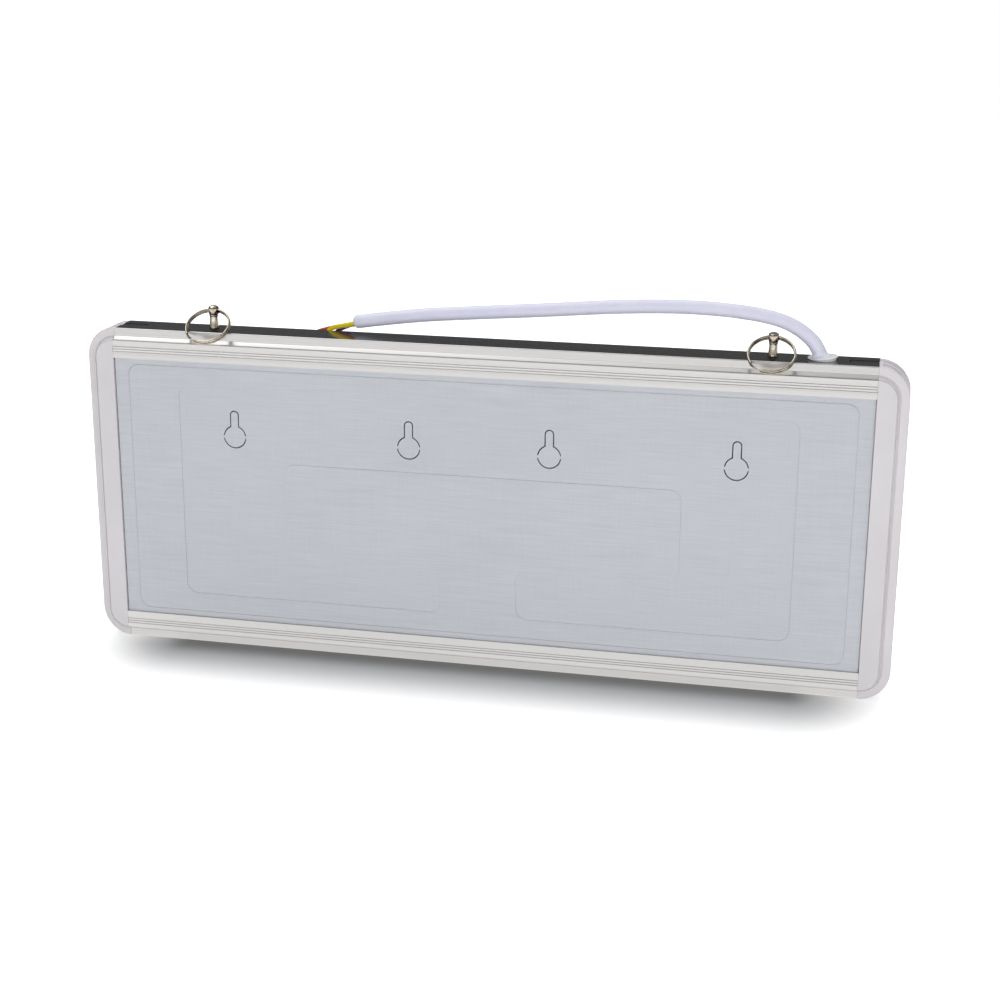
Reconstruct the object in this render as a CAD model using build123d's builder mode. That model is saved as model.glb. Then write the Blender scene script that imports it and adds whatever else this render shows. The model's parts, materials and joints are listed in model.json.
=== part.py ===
from build123d import *
import math
import os

# Illuminated exit sign: a slim box of two aluminium rails and two moulded end caps that
# hold a pressed back panel and a lit legend panel. X runs along the sign, the back panel
# faces -Y, the legend faces +Y, and Z = 0 is the bottom edge that the sign stands on.

# Overall size, in millimetres
rail_length = 332.0
sign_height = 145.0
cap_width = 13.2
outer_face_depth = 18.0
band_proud = 3.0

# Rail section, measured inwards from the top or bottom edge
outer_band = 3.5
step_height = 1.5
inner_band = 8.0
web_wall = 1.6
side_wall = 1.2
slot_floor = 6.6
lip_wall = 1.0
inner_lip_wall = 0.9
inner_lip_setback = 1.5
edge_round = 0.4
step_ledge = 0.6
step_groove = 0.5
rib_recess_depth = 0.3
rib_recess_height = 2.8
rib_width = 0.5
rib_spacing = 1.1
rib_line = 8.6

# Sheets held in the rails' slots
back_sheet = 0.8
legend_thickness = 1.9
diffuser_thickness = 0.4
guide_thickness = 3.0
reflector_thickness = 0.3
sheet_gap = 0.1
seat_gap = 0.3
end_gap = 0.3

# Relief pressed into the back panel
border_margin = 6.2
border_corner = 5.0
field_raise = 0.5
press_slope = 40.0
band_width = 272.0
band_top = 121.0
band_bottom = 24.3
plateau_width = 176.0
plateau_top = 88.0
plateau_bottom = 47.0
neck_width = 34.0
band_corner = 5.0
band_press = 0.35

# Keyhole knock-outs, still held in the sheet by two bridges each
keyhole_inner_x = 31.0
keyhole_outer_x = 110.5
keyhole_z = 99.0
keyhole_radius = 5.2
keyhole_slot = 4.1
keyhole_reach = 9.9
knockout_slit = 0.45
knockout_bridge = 1.3

# End caps
cap_wall = 1.6
cap_edge_round = 0.7
cap_face_round = 0.5
rim_groove_depth = 0.9
rim_rib_half = 1.0
rim_flange = 2.6
tongue_length = 12.0
tongue_width = 4.2
tongue_gap = 0.4
tongue_sink = 0.2
plug_length = 8.0
plug_drop = 3.4
panel_lip_reach = 2.8
panel_lip_wall = 1.0
panel_lip_gap = 1.0

# Hanging posts and their split rings
post_inset = 43.5
post_height = 10.5
post_foot_radius = 2.9
post_foot_height = 0.6
post_waist_radius = 1.8
post_waist_z = 4.4
post_collar_z = 5.8
post_collar_radius = 2.1
post_collar_height = 0.5
post_head_radius = 2.4
post_head_z = 7.0
post_dome = 0.5
post_hole_z = 8.2
post_hole_radius = 1.45
stud_radius = 2.0
stud_clearance = 0.15
nut_across_flats = 7.0
nut_height = 2.6
washer_thickness = 0.5
washer_radius = 3.5
stud_tail = 0.8
ring_wire = 1.0
ring_outer_diameter = 20.2
ring_turn_gap = 0.03
ring_edge_gap = 0.05
ring_jog_angle = 30.0
ring_jog_start = 215.0

# Mains cable, its cores and the grommet
cable_diameter = 6.0
core_diameter = 2.0
core_pitch_radius = 1.2
grommet_inset = 23.0
grommet_hole_radius = 4.8
grommet_flange_radius = 6.2
grommet_flange = 1.3
grommet_tilt = 6.0
grommet_inner_radius = 5.8
grommet_inner_flange = 1.5
grommet_hub_radius = 3.7
grommet_tip_radius = 3.4
grommet_fit = 0.1
cable_lean = 36.0
cable_exit_rise = 2.4

# Lamp, driver and battery
led_board_width = 3.4
led_board_thickness = 1.0
led_board_gap = 4.2
led_count = 22
led_length = 2.8
led_width = 1.6
led_height = 0.8
board_length = 72.0
board_height = 34.0
board_thickness = 1.6
board_x = 16.0
spacer_height = 3.0
spacer_inset = 3.6
spacer_foot_radius = 3.4
spacer_stem_radius = 2.2
spacer_snap_radius = 1.5
transformer_x = 20.6
transformer_length = 16.0
transformer_height = 13.0
transformer_seat = 1.4
winding_length = 12.0
winding_height = 11.0
winding_depth = 5.4
core_height = 4.6
core_depth = 7.0
capacitor_x = 7.4
capacitor_z = 6.5
capacitor_radius = 4.0
capacitor_length = 8.8
chip_x = 5.0
chip_length = 6.0
chip_height = 9.0
small_part_z = 11.5
small_part_shift = 2.0
small_part_length = 5.0
small_part_height = 2.6
small_part_depth = 1.7
socket_length = 5.0
socket_height = 6.0
socket_depth = 5.5
battery_socket_x = 31.5
battery_socket_z = 7.0
lamp_socket_x = 5.0
lamp_socket_z = 12.5
terminal_length = 10.0
terminal_width = 25.5
terminal_height = 8.6
terminal_pitch = 8.0
terminal_bore = 1.6
terminal_inset = 7.0
cell_diameter = 10.5
cell_length = 44.5
cell_count = 3
battery_inset = 30.0
cradle_wall = 1.0
cradle_side = 6.0
wire_diameter = 1.3
clamp_inset = 6.0
clamp_length = 7.0
clamp_width = 20.0
clamp_base = 2.4
clamp_bar_height = 2.4
clamp_bar_gap = 0.1
clamp_screw_radius = 1.3
clamp_screw_offset = 6.6
clamp_fit = 0.1

# Values that follow from the sizes above
corner_radius = cap_width
half_rail = rail_length / 2
half_length = half_rail + cap_width
half_face = outer_face_depth / 2
half_depth = half_face + band_proud
rail_height = outer_band + step_height + inner_band
mid_height = sign_height / 2
step_inset = outer_band + step_height
slot_outer = half_depth - lip_wall
back_slot = back_sheet + 2 * sheet_gap
front_slot = legend_thickness + diffuser_thickness + 2 * sheet_gap
back_lip_y = slot_outer - back_slot - inner_lip_wall
front_lip_y = slot_outer - front_slot - inner_lip_wall
cavity_half = half_face - side_wall
sheet_bottom = slot_floor + seat_gap
sheet_height = sign_height - 2 * sheet_bottom
sheet_length = rail_length - 2 * end_gap
back_rim_y = -(slot_outer - sheet_gap)
field_face_y = back_rim_y - field_raise
field_inner_y = field_face_y + back_sheet
band_inner_y = field_inner_y + band_press
web_inner_z = sign_height - web_wall
guide_front_y = front_lip_y - 2 * sheet_gap
reflector_y = guide_front_y - guide_thickness - sheet_gap
plug_back_y = sheet_gap - cavity_half
plug_front_y = reflector_y - reflector_thickness - seat_gap
post_x = half_rail - post_inset
grommet_x = half_rail - grommet_inset
led_board_length = 2 * (grommet_x - grommet_inner_radius - led_board_gap)
board_z = (plateau_top + plateau_bottom) / 2
clamp_x = plateau_width / 2 - clamp_inset
battery_x = battery_inset - plateau_width / 2

os.makedirs("parts", exist_ok=True)


def save(piece, name):
    """Label a finished piece and write it as one STEP file."""
    piece.part.label = name
    export_step(piece.part, f"parts/{name}.step")


def tube_radii(points, share=0.45):
    """Give the largest tangent arc that the two runs beside each corner leave room for."""
    radii = []
    for before, corner, after in zip(points, points[1:], points[2:]):
        run_in = Vector(*corner) - Vector(*before)
        run_out = Vector(*after) - Vector(*corner)
        turn = math.radians(run_in.get_angle(run_out))
        radii.append(share * min(run_in.length, run_out.length) / math.tan(turn / 2))
    return radii


def report_tube(name, piece, path, diameter, radii):
    """Print a tube's arcs, length and how its volume compares with section times length."""
    section = math.pi * diameter**2 / 4
    ratio = piece.part.volume / (section * path.length)
    arcs = ", ".join(f"{radius:.1f}" for radius in radii)
    print(f"{name}: length {path.length:.1f}, volume ratio {ratio:.4f}, radii {arcs}")


# Top rail: a channel with stepped faces, two slots for the sheets and a closed outer web
def rail_section(outward):
    """Draw the rail's section; outward is +1 for the top rail and -1 for the bottom one."""
    edge = sign_height if outward > 0 else 0.0

    def at(inset):
        return edge - outward * inset

    def block(low_y, high_y, start, end, mode=Mode.ADD):
        middle = ((low_y + high_y) / 2, at((start + end) / 2))
        with Locations(middle):
            Rectangle(high_y - low_y, end - start, mode=mode)

    block(-half_face, half_face, 0, rail_height)
    block(-half_depth, half_depth, step_inset, rail_height)
    foot = half_depth - step_ledge
    for side in (-1, 1):
        with BuildLine() as cove:
            start = (side * half_face, at(outer_band))
            end = (side * foot, at(step_inset))
            bow = (side * (half_face + 0.62 * (foot - half_face)), at(outer_band + 0.72 * step_height))
            ThreePointArc(start, bow, end)
            Polyline(end, (0, at(step_inset)), (0, at(outer_band)), start)
        make_face(cove.edges())
        groove = sorted((side * (foot - step_groove), side * (half_depth + 1)))
        block(*groove, step_inset - step_groove, step_inset, mode=Mode.SUBTRACT)
        recess = sorted((side * (half_depth - rib_recess_depth), side * (half_depth + 1)))
        start_t = rib_line - rib_recess_height / 2
        block(*recess, start_t, start_t + rib_recess_height, mode=Mode.SUBTRACT)
        ribs = sorted((side * (half_depth - 2 * rib_recess_depth), side * half_depth))
        for offset in (-rib_spacing / 2, rib_spacing / 2):
            block(*ribs, rib_line + offset - rib_width / 2, rib_line + offset + rib_width / 2)
    block(-cavity_half, cavity_half, web_wall, slot_floor, mode=Mode.SUBTRACT)
    block(-back_lip_y, front_lip_y, slot_floor - 0.01, rail_height, mode=Mode.SUBTRACT)
    block(-slot_outer, back_slot - slot_outer, slot_floor, rail_height, mode=Mode.SUBTRACT)
    block(slot_outer - front_slot, slot_outer, slot_floor, rail_height, mode=Mode.SUBTRACT)
    lip_end = rail_height - inner_lip_setback
    block(-slot_outer, slot_outer, lip_end, rail_height, mode=Mode.SUBTRACT)


def cut_tongue_slots(web_middle):
    """Cut the open slot at each end of a rail's web that takes an end cap's tongue."""
    for side in (-1, 1):
        with Locations((side * (half_rail - tongue_length / 2), 0, web_middle)):
            Box(tongue_length, tongue_width + 2 * tongue_gap, 2 * web_wall, mode=Mode.SUBTRACT)


with BuildPart() as top_rail:
    with BuildSketch(Plane.YZ):
        rail_section(1)
    extrude(amount=half_rail, both=True)
    fillet(top_rail.edges().filter_by(Axis.X).group_by(Axis.Z)[-1], radius=edge_round)
    with Locations((-post_x, 0, sign_height), (post_x, 0, sign_height)):
        Cylinder(stud_radius + stud_clearance, 4 * web_wall, mode=Mode.SUBTRACT)
    with Locations((grommet_x, 0, sign_height)):
        Cylinder(grommet_hole_radius, 4 * web_wall, mode=Mode.SUBTRACT)
    cut_tongue_slots(sign_height - web_wall / 2)

with BuildPart() as bottom_rail:
    with BuildSketch(Plane.YZ):
        rail_section(-1)
    extrude(amount=half_rail, both=True)
    fillet(bottom_rail.edges().filter_by(Axis.X).group_by(Axis.Z)[0], radius=edge_round)
    cut_tongue_slots(web_wall / 2)

save(top_rail, "top_rail")
save(bottom_rail, "bottom_rail")


# End cap: the rails' stepped section turned round a rounded corner, hollow inside
def cap_outline(inset, mode=Mode.ADD):
    """Draw the whole sign's rounded outline, moved inwards by the inset."""
    with Locations((0, mid_height)):
        RectangleRounded(
            2 * (half_length - inset),
            sign_height - 2 * inset,
            corner_radius - inset,
            mode=mode,
        )


step_rise = band_proud - step_ledge
step_run = step_height - step_groove
step_taper = math.degrees(math.atan2(step_run, step_rise))
groove_face = half_depth - step_ledge - step_groove

with BuildPart() as end_cap_right:
    with BuildSketch(Plane.XZ):
        cap_outline(0)
    extrude(amount=half_face)
    fillet(end_cap_right.faces().sort_by(Axis.Y)[0].edges(), radius=cap_edge_round)
    with BuildSketch(Plane.XZ.offset(half_face)):
        cap_outline(outer_band)
    extrude(amount=step_rise, taper=step_taper)
    with BuildSketch(Plane.XZ):
        cap_outline(step_inset)
    extrude(amount=half_depth)
    fillet(end_cap_right.faces().sort_by(Axis.Y)[0].edges(), radius=cap_face_round)
    with BuildSketch(Plane.XZ.offset(groove_face)):
        cap_outline(step_inset - step_groove)
        cap_outline(step_inset, mode=Mode.SUBTRACT)
    extrude(amount=2 * step_groove, mode=Mode.SUBTRACT)
    with BuildSketch(Plane.XZ):
        cap_outline(cap_wall)
    extrude(amount=half_face - cap_wall, mode=Mode.SUBTRACT)
    with BuildSketch(Plane.XZ):
        cap_outline(step_inset + cap_wall)
    extrude(amount=half_depth - cap_wall, mode=Mode.SUBTRACT)
    with BuildSketch(Plane.XZ.offset(rim_rib_half)):
        cap_outline(0)
        cap_outline(rim_groove_depth, mode=Mode.SUBTRACT)
    extrude(amount=half_face - rim_flange - rim_rib_half, mode=Mode.SUBTRACT)
    split(bisect_by=Plane.YZ.offset(half_rail), keep=Keep.TOP)
    mirror(about=Plane.XZ)
    for outward, edge in ((1, sign_height), (-1, 0.0)):
        tongue_depth = web_wall - tongue_sink
        tongue_x = half_rail - (tongue_length - tongue_gap) / 2
        tongue_z = edge - outward * (tongue_sink + tongue_depth / 2)
        with Locations((tongue_x + cap_wall / 2, 0, tongue_z)):
            Box(tongue_length - tongue_gap + cap_wall, tongue_width, tongue_depth)
        plug_y = (plug_back_y + plug_front_y) / 2
        plug_depth = plug_front_y - plug_back_y
        plug_z = edge - outward * (web_wall + tongue_gap + plug_drop / 2)
        with Locations((half_rail - (plug_length - cap_wall) / 2, plug_y, plug_z)):
            Box(plug_length + cap_wall, plug_depth, plug_drop)
        with Locations((half_rail - plug_length / 2 - cap_wall, plug_y, plug_z - outward * cap_wall)):
            Box(plug_length, plug_depth - 2 * cap_wall, plug_drop, mode=Mode.SUBTRACT)
        stem_height = tongue_gap + plug_drop + cap_wall
        stem_z = edge - outward * (web_wall + stem_height / 2 - cap_wall)
        with Locations((half_rail + cap_wall / 2, plug_y, stem_z)):
            Box(cap_wall, plug_depth, stem_height)
    lip_height = sign_height - 2 * (rail_height + panel_lip_gap)
    lip_faces = (
        (back_rim_y + back_sheet + sheet_gap, 1),
        (slot_outer - front_slot, -1),
    )
    for lip_y, inwards in lip_faces:
        lip_middle = lip_y + inwards * panel_lip_wall / 2
        with Locations((half_rail + (cap_wall - panel_lip_reach) / 2, lip_middle, mid_height)):
            Box(panel_lip_reach + cap_wall, panel_lip_wall, lip_height)
        web_depth = half_depth - abs(lip_y) + panel_lip_wall
        web_y = -inwards * (half_depth - web_depth / 2 - cap_wall / 2)
        with Locations((half_rail + cap_wall, web_y, mid_height)):
            Box(cap_wall, web_depth - cap_wall, lip_height)

with BuildPart() as end_cap_left:
    mirror(end_cap_right.part, about=Plane.YZ)

save(end_cap_right, "end_cap_right")
save(end_cap_left, "end_cap_left")


# Back panel: a thin sheet with a raised field, a pressed band and four knock-outs
def field_outline():
    """Draw the raised field inside the panel's flat rim."""
    field_width = sheet_length - 2 * border_margin
    field_height = sign_height - 2 * (rail_height + seat_gap + border_margin / 3)
    with Locations((0, mid_height)):
        RectangleRounded(field_width, field_height, border_corner)


def band_outline():
    """Draw the pressed band, which runs round a middle plateau and is open at the bottom."""
    with Locations((0, (band_top + band_bottom) / 2)):
        Rectangle(band_width, band_top - band_bottom)
    with Locations((0, (plateau_top + plateau_bottom) / 2)):
        Rectangle(plateau_width, plateau_top - plateau_bottom, mode=Mode.SUBTRACT)
    with Locations((0, (plateau_bottom + band_bottom) / 2)):
        Rectangle(neck_width, plateau_bottom - band_bottom + 1, mode=Mode.SUBTRACT)


def keyhole(shrink=0.0, mode=Mode.ADD):
    """Draw one keyhole: a round hole with a slot above it."""
    Circle(keyhole_radius - shrink, mode=mode)
    with Locations((0, keyhole_reach / 2)):
        SlotCenterToCenter(keyhole_reach, keyhole_slot - 2 * shrink, rotation=90, mode=mode)


keyhole_places = (-keyhole_outer_x, -keyhole_inner_x, keyhole_inner_x, keyhole_outer_x)
keyhole_centres = [(x, keyhole_z) for x in keyhole_places]

with BuildPart() as back_panel:
    with BuildSketch(Plane.XZ.offset(-back_rim_y - back_sheet)):
        with Locations((0, mid_height)):
            Rectangle(sheet_length, sheet_height)
    extrude(amount=back_sheet)
    with BuildSketch(Plane.XZ.offset(-back_rim_y)):
        field_outline()
    extrude(amount=field_raise, taper=press_slope)
    with BuildSketch(Plane.XZ.offset(-back_rim_y - back_sheet)):
        field_outline()
    extrude(amount=field_raise, taper=press_slope, mode=Mode.SUBTRACT)
    with BuildSketch(Plane.XZ.offset(-band_inner_y)) as band_boss:
        band_outline()
        fillet(band_boss.vertices(), radius=band_corner)
    extrude(amount=back_sheet)
    with BuildSketch(Plane.XZ.offset(-field_face_y - band_press)) as band_recess:
        band_outline()
        fillet(band_recess.vertices(), radius=band_corner)
    extrude(amount=2 * band_press, mode=Mode.SUBTRACT)
    with BuildSketch(Plane.XZ.offset(-band_inner_y - back_sheet / 2)):
        with Locations(*keyhole_centres):
            keyhole()
            keyhole(shrink=knockout_slit, mode=Mode.SUBTRACT)
            Rectangle(3 * keyhole_radius, knockout_bridge, mode=Mode.SUBTRACT)
    extrude(amount=2 * back_sheet, both=True, mode=Mode.SUBTRACT)

save(back_panel, "back_panel")

# Legend panel and diffuser, which share the front slot
legend_back_y = slot_outer - sheet_gap - legend_thickness
with BuildPart() as legend_panel:
    with BuildSketch(Plane.XZ.offset(-legend_back_y)):
        with Locations((0, mid_height)):
            Rectangle(sheet_length, sheet_height)
    extrude(amount=-legend_thickness)
    chamfer(legend_panel.faces().sort_by(Axis.Y)[-1].edges(), length=sheet_gap * 3)
save(legend_panel, "legend_panel")

with BuildPart() as diffuser_sheet:
    with BuildSketch(Plane.XZ.offset(-legend_back_y)):
        with Locations((0, mid_height)):
            Rectangle(sheet_length, sheet_height)
    extrude(amount=diffuser_thickness)
save(diffuser_sheet, "diffuser_sheet")

# Light guide and reflector, which stand on the bottom rail's web between the end caps' lips
guide_length = rail_length - 2 * (panel_lip_reach + end_gap)
guide_bottom = web_wall + seat_gap
guide_height = sign_height - 2 * web_wall - seat_gap - led_board_thickness - led_height - 2 * seat_gap
guide_middle = guide_bottom + guide_height / 2
with BuildPart() as light_guide:
    with BuildSketch(Plane.XZ.offset(-guide_front_y)):
        with Locations((0, guide_middle)):
            RectangleRounded(guide_length, guide_height, 2 * web_wall)
    extrude(amount=guide_thickness)
save(light_guide, "light_guide")

with BuildPart() as reflector_sheet:
    with BuildSketch(Plane.XZ.offset(-reflector_y)):
        with Locations((0, guide_middle)):
            RectangleRounded(guide_length, guide_height, 2 * web_wall)
    extrude(amount=reflector_thickness)
save(reflector_sheet, "reflector_sheet")

# Lamp board under the top web, with its row of lamps facing the light guide's edge
led_board_y = guide_front_y - guide_thickness / 2
led_board_top = web_inner_z - sheet_gap
led_spacing = (led_board_length - 2 * led_length) / (led_count - 1)
with BuildPart() as led_board:
    with BuildSketch(Plane.XY.offset(led_board_top)):
        with Locations((0, led_board_y)):
            Rectangle(led_board_length, led_board_width)
    extrude(amount=-led_board_thickness)
save(led_board, "led_board")

with BuildPart() as leds:
    with BuildSketch(Plane.XY.offset(led_board_top - led_board_thickness)):
        with Locations((0, led_board_y)):
            with GridLocations(led_spacing, 0, led_count, 1):
                Rectangle(led_length, led_width)
    extrude(amount=-led_height)
save(leds, "leds")


# Hanging posts: turned in one piece with a stud that passes through the top web
def hanging_post(x):
    """Turn one post, with its foot on the rail and a cross hole for the split ring."""
    seat = Plane(origin=(x, 0, sign_height), x_dir=(1, 0, 0), z_dir=(0, -1, 0))
    tail = web_wall + washer_thickness + nut_height + stud_tail
    with BuildPart() as post:
        with BuildSketch(seat):
            with BuildLine():
                Polyline((0, -tail), (stud_radius - 0.3, -tail), (stud_radius, 0.3 - tail), (stud_radius, 0))
                Polyline((stud_radius, 0), (post_foot_radius, 0), (post_foot_radius, post_foot_height))
                flare = (
                    post_waist_radius + 0.22 * (post_foot_radius - post_waist_radius),
                    post_foot_height + 0.45 * (post_waist_z - post_foot_height),
                )
                ThreePointArc((post_foot_radius, post_foot_height), flare, (post_waist_radius, post_waist_z))
                Polyline(
                    (post_waist_radius, post_waist_z),
                    (post_waist_radius, post_collar_z),
                    (post_collar_radius, post_collar_z),
                    (post_collar_radius, post_collar_z + post_collar_height),
                    (post_waist_radius, post_collar_z + post_collar_height),
                    (post_head_radius, post_head_z),
                    (post_head_radius, post_height - post_dome),
                )
                dome_start = (post_head_radius, post_height - post_dome)
                dome_end = (post_head_radius - post_dome, post_height)
                RadiusArc(dome_start, dome_end, -post_dome)
                Polyline(dome_end, (0, post_height), (0, -tail))
            make_face()
        revolve(axis=Axis((x, 0, 0), (0, 0, 1)))
        with Locations(Plane(origin=(x, 0, sign_height + post_hole_z), z_dir=(1, 0, 0))):
            Cylinder(post_hole_radius, 4 * post_head_radius, mode=Mode.SUBTRACT)
    return post


for x, side in ((-post_x, "left"), (post_x, "right")):
    save(hanging_post(x), f"hanging_post_{side}")

post_centres = [(-post_x, 0), (post_x, 0)]
with BuildPart() as post_washers:
    with BuildSketch(Plane.XY.offset(web_inner_z)):
        with Locations(*post_centres):
            Circle(washer_radius)
            Circle(stud_radius + stud_clearance, mode=Mode.SUBTRACT)
    extrude(amount=-washer_thickness)
save(post_washers, "post_washers")

with BuildPart() as post_nuts:
    with BuildSketch(Plane.XY.offset(web_inner_z - washer_thickness)):
        with Locations(*post_centres):
            RegularPolygon(nut_across_flats / 2, 6, major_radius=False, rotation=30)
            Circle(stud_radius + stud_clearance / 3, mode=Mode.SUBTRACT)
    extrude(amount=-nut_height)
save(post_nuts, "post_nuts")

# Split rings: two flat turns of wire side by side, joined by a short jog, leaning on the
# back edge of the top rail
ring_radius = (ring_outer_diameter - ring_wire) / 2
ring_half_width = ring_wire + ring_turn_gap / 2
edge_distance = math.hypot(half_face, post_hole_z)
edge_angle = math.atan2(half_face, post_hole_z)
ring_lean = edge_angle + math.asin((ring_half_width + ring_edge_gap) / edge_distance)
ring_hang = math.sqrt(ring_radius**2 - (post_head_radius / 2) ** 2)


def split_ring(x):
    """Bend one two-turn ring, threaded through the post's cross hole."""
    hole_z = sign_height + post_hole_z
    centre = (x, -ring_hang * math.sin(ring_lean), hole_z - ring_hang * math.cos(ring_lean))
    normal = (0, -math.cos(ring_lean), math.sin(ring_lean))
    lie = Plane(origin=centre, x_dir=(1, 0, 0), z_dir=normal)
    layer = (ring_wire + ring_turn_gap) / 2

    def on_ring(angle, height):
        turn = math.radians(angle)
        return (ring_radius * math.cos(turn), ring_radius * math.sin(turn), height)

    jog_end = ring_jog_start + ring_jog_angle
    turn_angle = 360 - ring_jog_angle
    arcs = (
        (jog_end, turn_angle, -layer, -layer),
        (ring_jog_start, ring_jog_angle, -layer, layer),
        (jog_end, turn_angle, layer, layer),
    )
    with BuildPart(lie) as ring:
        for start, sweep_angle, low, high in arcs:
            with BuildLine(lie) as wire:
                ThreePointArc(
                    on_ring(start, low),
                    on_ring(start + sweep_angle / 2, (low + high) / 2),
                    on_ring(start + sweep_angle, high),
                )
            with BuildSketch(Plane(origin=wire.line @ 0, z_dir=wire.line % 0)):
                Circle(ring_wire / 2)
            sweep(path=wire.line)
        with Locations(on_ring(ring_jog_start, -layer), on_ring(jog_end, layer)):
            Sphere(ring_wire / 2)
    return ring


for x, side in ((-post_x, "left"), (post_x, "right")):
    save(split_ring(x), f"split_ring_{side}")

# Grommet: a soft plug round the cable, its outer flange lifted where the cable leans away
lean = math.radians(cable_lean)
cable_axis = Vector(-math.sin(lean), 0, math.cos(lean))
cable_pivot = Vector(grommet_x, 0, sign_height)
cable_exit = cable_pivot + cable_axis * (cable_exit_rise / math.cos(lean))
flange_lift = grommet_flange_radius * math.sin(math.radians(grommet_tilt))

with BuildPart() as cable_grommet:
    neck_bottom = web_inner_z - grommet_fit
    with BuildSketch(Plane.XY.offset(neck_bottom)):
        with Locations((grommet_x, 0)):
            Circle(grommet_hole_radius - grommet_fit)
    extrude(amount=web_wall + 2 * grommet_fit + flange_lift)
    with BuildSketch(Plane.XY.offset(neck_bottom)):
        with Locations((grommet_x, 0)):
            Circle(grommet_inner_radius)
    extrude(amount=-grommet_inner_flange, taper=10)
    flange_plane = Plane(
        origin=(grommet_x, 0, sign_height + grommet_fit + flange_lift),
        z_dir=(-math.sin(math.radians(grommet_tilt)), 0, math.cos(math.radians(grommet_tilt))),
    )
    with BuildSketch(flange_plane):
        Circle(grommet_flange_radius)
    extrude(amount=grommet_flange)
    flange_axis = Axis(flange_plane.origin, flange_plane.z_dir)
    flange_rim = cable_grommet.edges().filter_by(GeomType.CIRCLE).sort_by(flange_axis)[-1]
    fillet(flange_rim, radius=grommet_flange / 3)
    with BuildSketch(Plane(origin=tuple(cable_pivot), z_dir=tuple(cable_axis))):
        Circle(grommet_hub_radius)
    with BuildSketch(Plane(origin=tuple(cable_exit - cable_axis * sheet_gap * 2), z_dir=tuple(cable_axis))):
        Circle(grommet_tip_radius)
    loft()
    with Locations(Plane(origin=tuple(cable_pivot), z_dir=tuple(cable_axis))):
        Cylinder(cable_diameter / 2 + grommet_fit / 2, 30, mode=Mode.SUBTRACT)
save(cable_grommet, "cable_grommet")


# Mains cable: it stands up from the grommet in a long arc and comes down to the back edge
def bend_tube(points, diameter, name, share=0.45):
    """Bend a round tube along straight runs joined by tangent arcs."""
    radii = tube_radii(points, share)
    with BuildPart() as tube:
        with BuildLine() as route:
            FilletPolyline(*points, radius=radii)
        path = route.wire()
        with BuildSketch(Plane(origin=path @ 0, z_dir=path % 0)):
            Circle(diameter / 2)
        sweep(path=path)
    report_tube(name, tube, path, diameter, radii)
    return tube


# Each run of the cable: its length, its slope in degrees and its drift towards the front
cable_runs = (
    (3.8, 90 - cable_lean, 0.0),
    (5.0, 46.0, 0.02),
    (6.2, 35.0, 0.05),
    (7.0, 23.0, 0.12),
    (9.0, 11.5, 0.3),
    (14.0, 5.5, 0.5),
    (20.0, 1.0, 0.9),
    (28.0, -3.4, 1.1),
    (30.0, -6.0, 1.2),
    (31.0, -5.0, 1.2),
    (29.0, -5.6, 1.1),
    (21.0, -8.4, 0.8),
)
cable_points = [tuple(cable_exit)]
for length, slope, drift in cable_runs:
    last = cable_points[-1]
    flat = length * math.cos(math.radians(slope))
    climb = length * math.sin(math.radians(slope))
    cable_points.append((last[0] - flat, last[1] + drift, last[2] + climb))
mains_cable = bend_tube(cable_points, cable_diameter, "mains_cable")
save(mains_cable, "mains_cable")

# Cores: bared ends that drop over the rail's edge, each with its place in the sheath
cable_end = Vector(*cable_points[-1])
end_direction = (cable_end - Vector(*cable_points[-2])).normalized()
core_routes = {
    "core_brown": (
        90.0,
        4.4,
        (
            (-8.5, 0.5, -1.5),
            (-12.5, 1.1, -3.1),
            (-17.0, 2.4, -4.9),
            (-21.5, 4.0, -6.6),
            (-24.5, 5.8, -9.6),
            (-26.0, 7.0, -14.0),
        ),
    ),
    "core_yellow": (
        210.0,
        3.9,
        (
            (-7.0, 0.5, -1.9),
            (-10.0, 1.8, -3.2),
            (-13.0, 3.9, -3.7),
            (-15.5, 5.9, -6.5),
            (-17.2, 7.5, -10.4),
            (-18.9, 8.6, -18.4),
        ),
    ),
    "core_blue": (
        330.0,
        3.5,
        (
            (-6.8, 0.9, -1.4),
            (-9.4, 2.7, -3.2),
            (-10.9, 4.5, -6.6),
            (-11.5, 5.6, -11.2),
            (-11.7, 5.9, -17.4),
            (-11.4, 5.7, -25.0),
        ),
    ),
}
for name, (clock, first_run, offsets) in core_routes.items():
    side_step = Vector(0, 1, 0) * core_pitch_radius * math.cos(math.radians(clock))
    rise_step = Vector(0, 0, 1) * core_pitch_radius * math.sin(math.radians(clock))
    start = cable_end + side_step + rise_step
    start -= end_direction * (start - cable_end).dot(end_direction)
    points = [tuple(start), tuple(start + end_direction * first_run)]
    points += [tuple(start + Vector(*offset)) for offset in offsets]
    save(bend_tube(points, core_diameter, name), name)

# Inner end of the cable, from the grommet to the terminals
inner_start = cable_exit
inner_drop = cable_pivot - cable_axis * 8.0
clamp_y = field_inner_y + clamp_base + cable_diameter / 2 + clamp_fit
# Each stage of the route: its share of the way from the clamp to the grommet along X and Z,
# and its place between the sheets
inner_stages = (
    (1.123, -1.2, 0.768),
    (1.107, -3.6, 0.587),
    (1.0, -5.0, 0.394),
    (0.811, clamp_y + 0.4, 0.213),
    (0.566, clamp_y + 0.1, 0.058),
    (0.279, clamp_y, 0.0),
)
inner_points = [tuple(inner_start), tuple(inner_drop)]
for share_x, stage_y, share_z in inner_stages:
    stage_x = clamp_x + share_x * (grommet_x - clamp_x)
    inner_points.append((stage_x, stage_y, board_z + share_z * (sign_height - board_z)))
inner_points.append((clamp_x - clamp_length, clamp_y, board_z))
inner_cable = bend_tube(inner_points, cable_diameter, "inner_cable")
save(inner_cable, "inner_cable")


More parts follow.
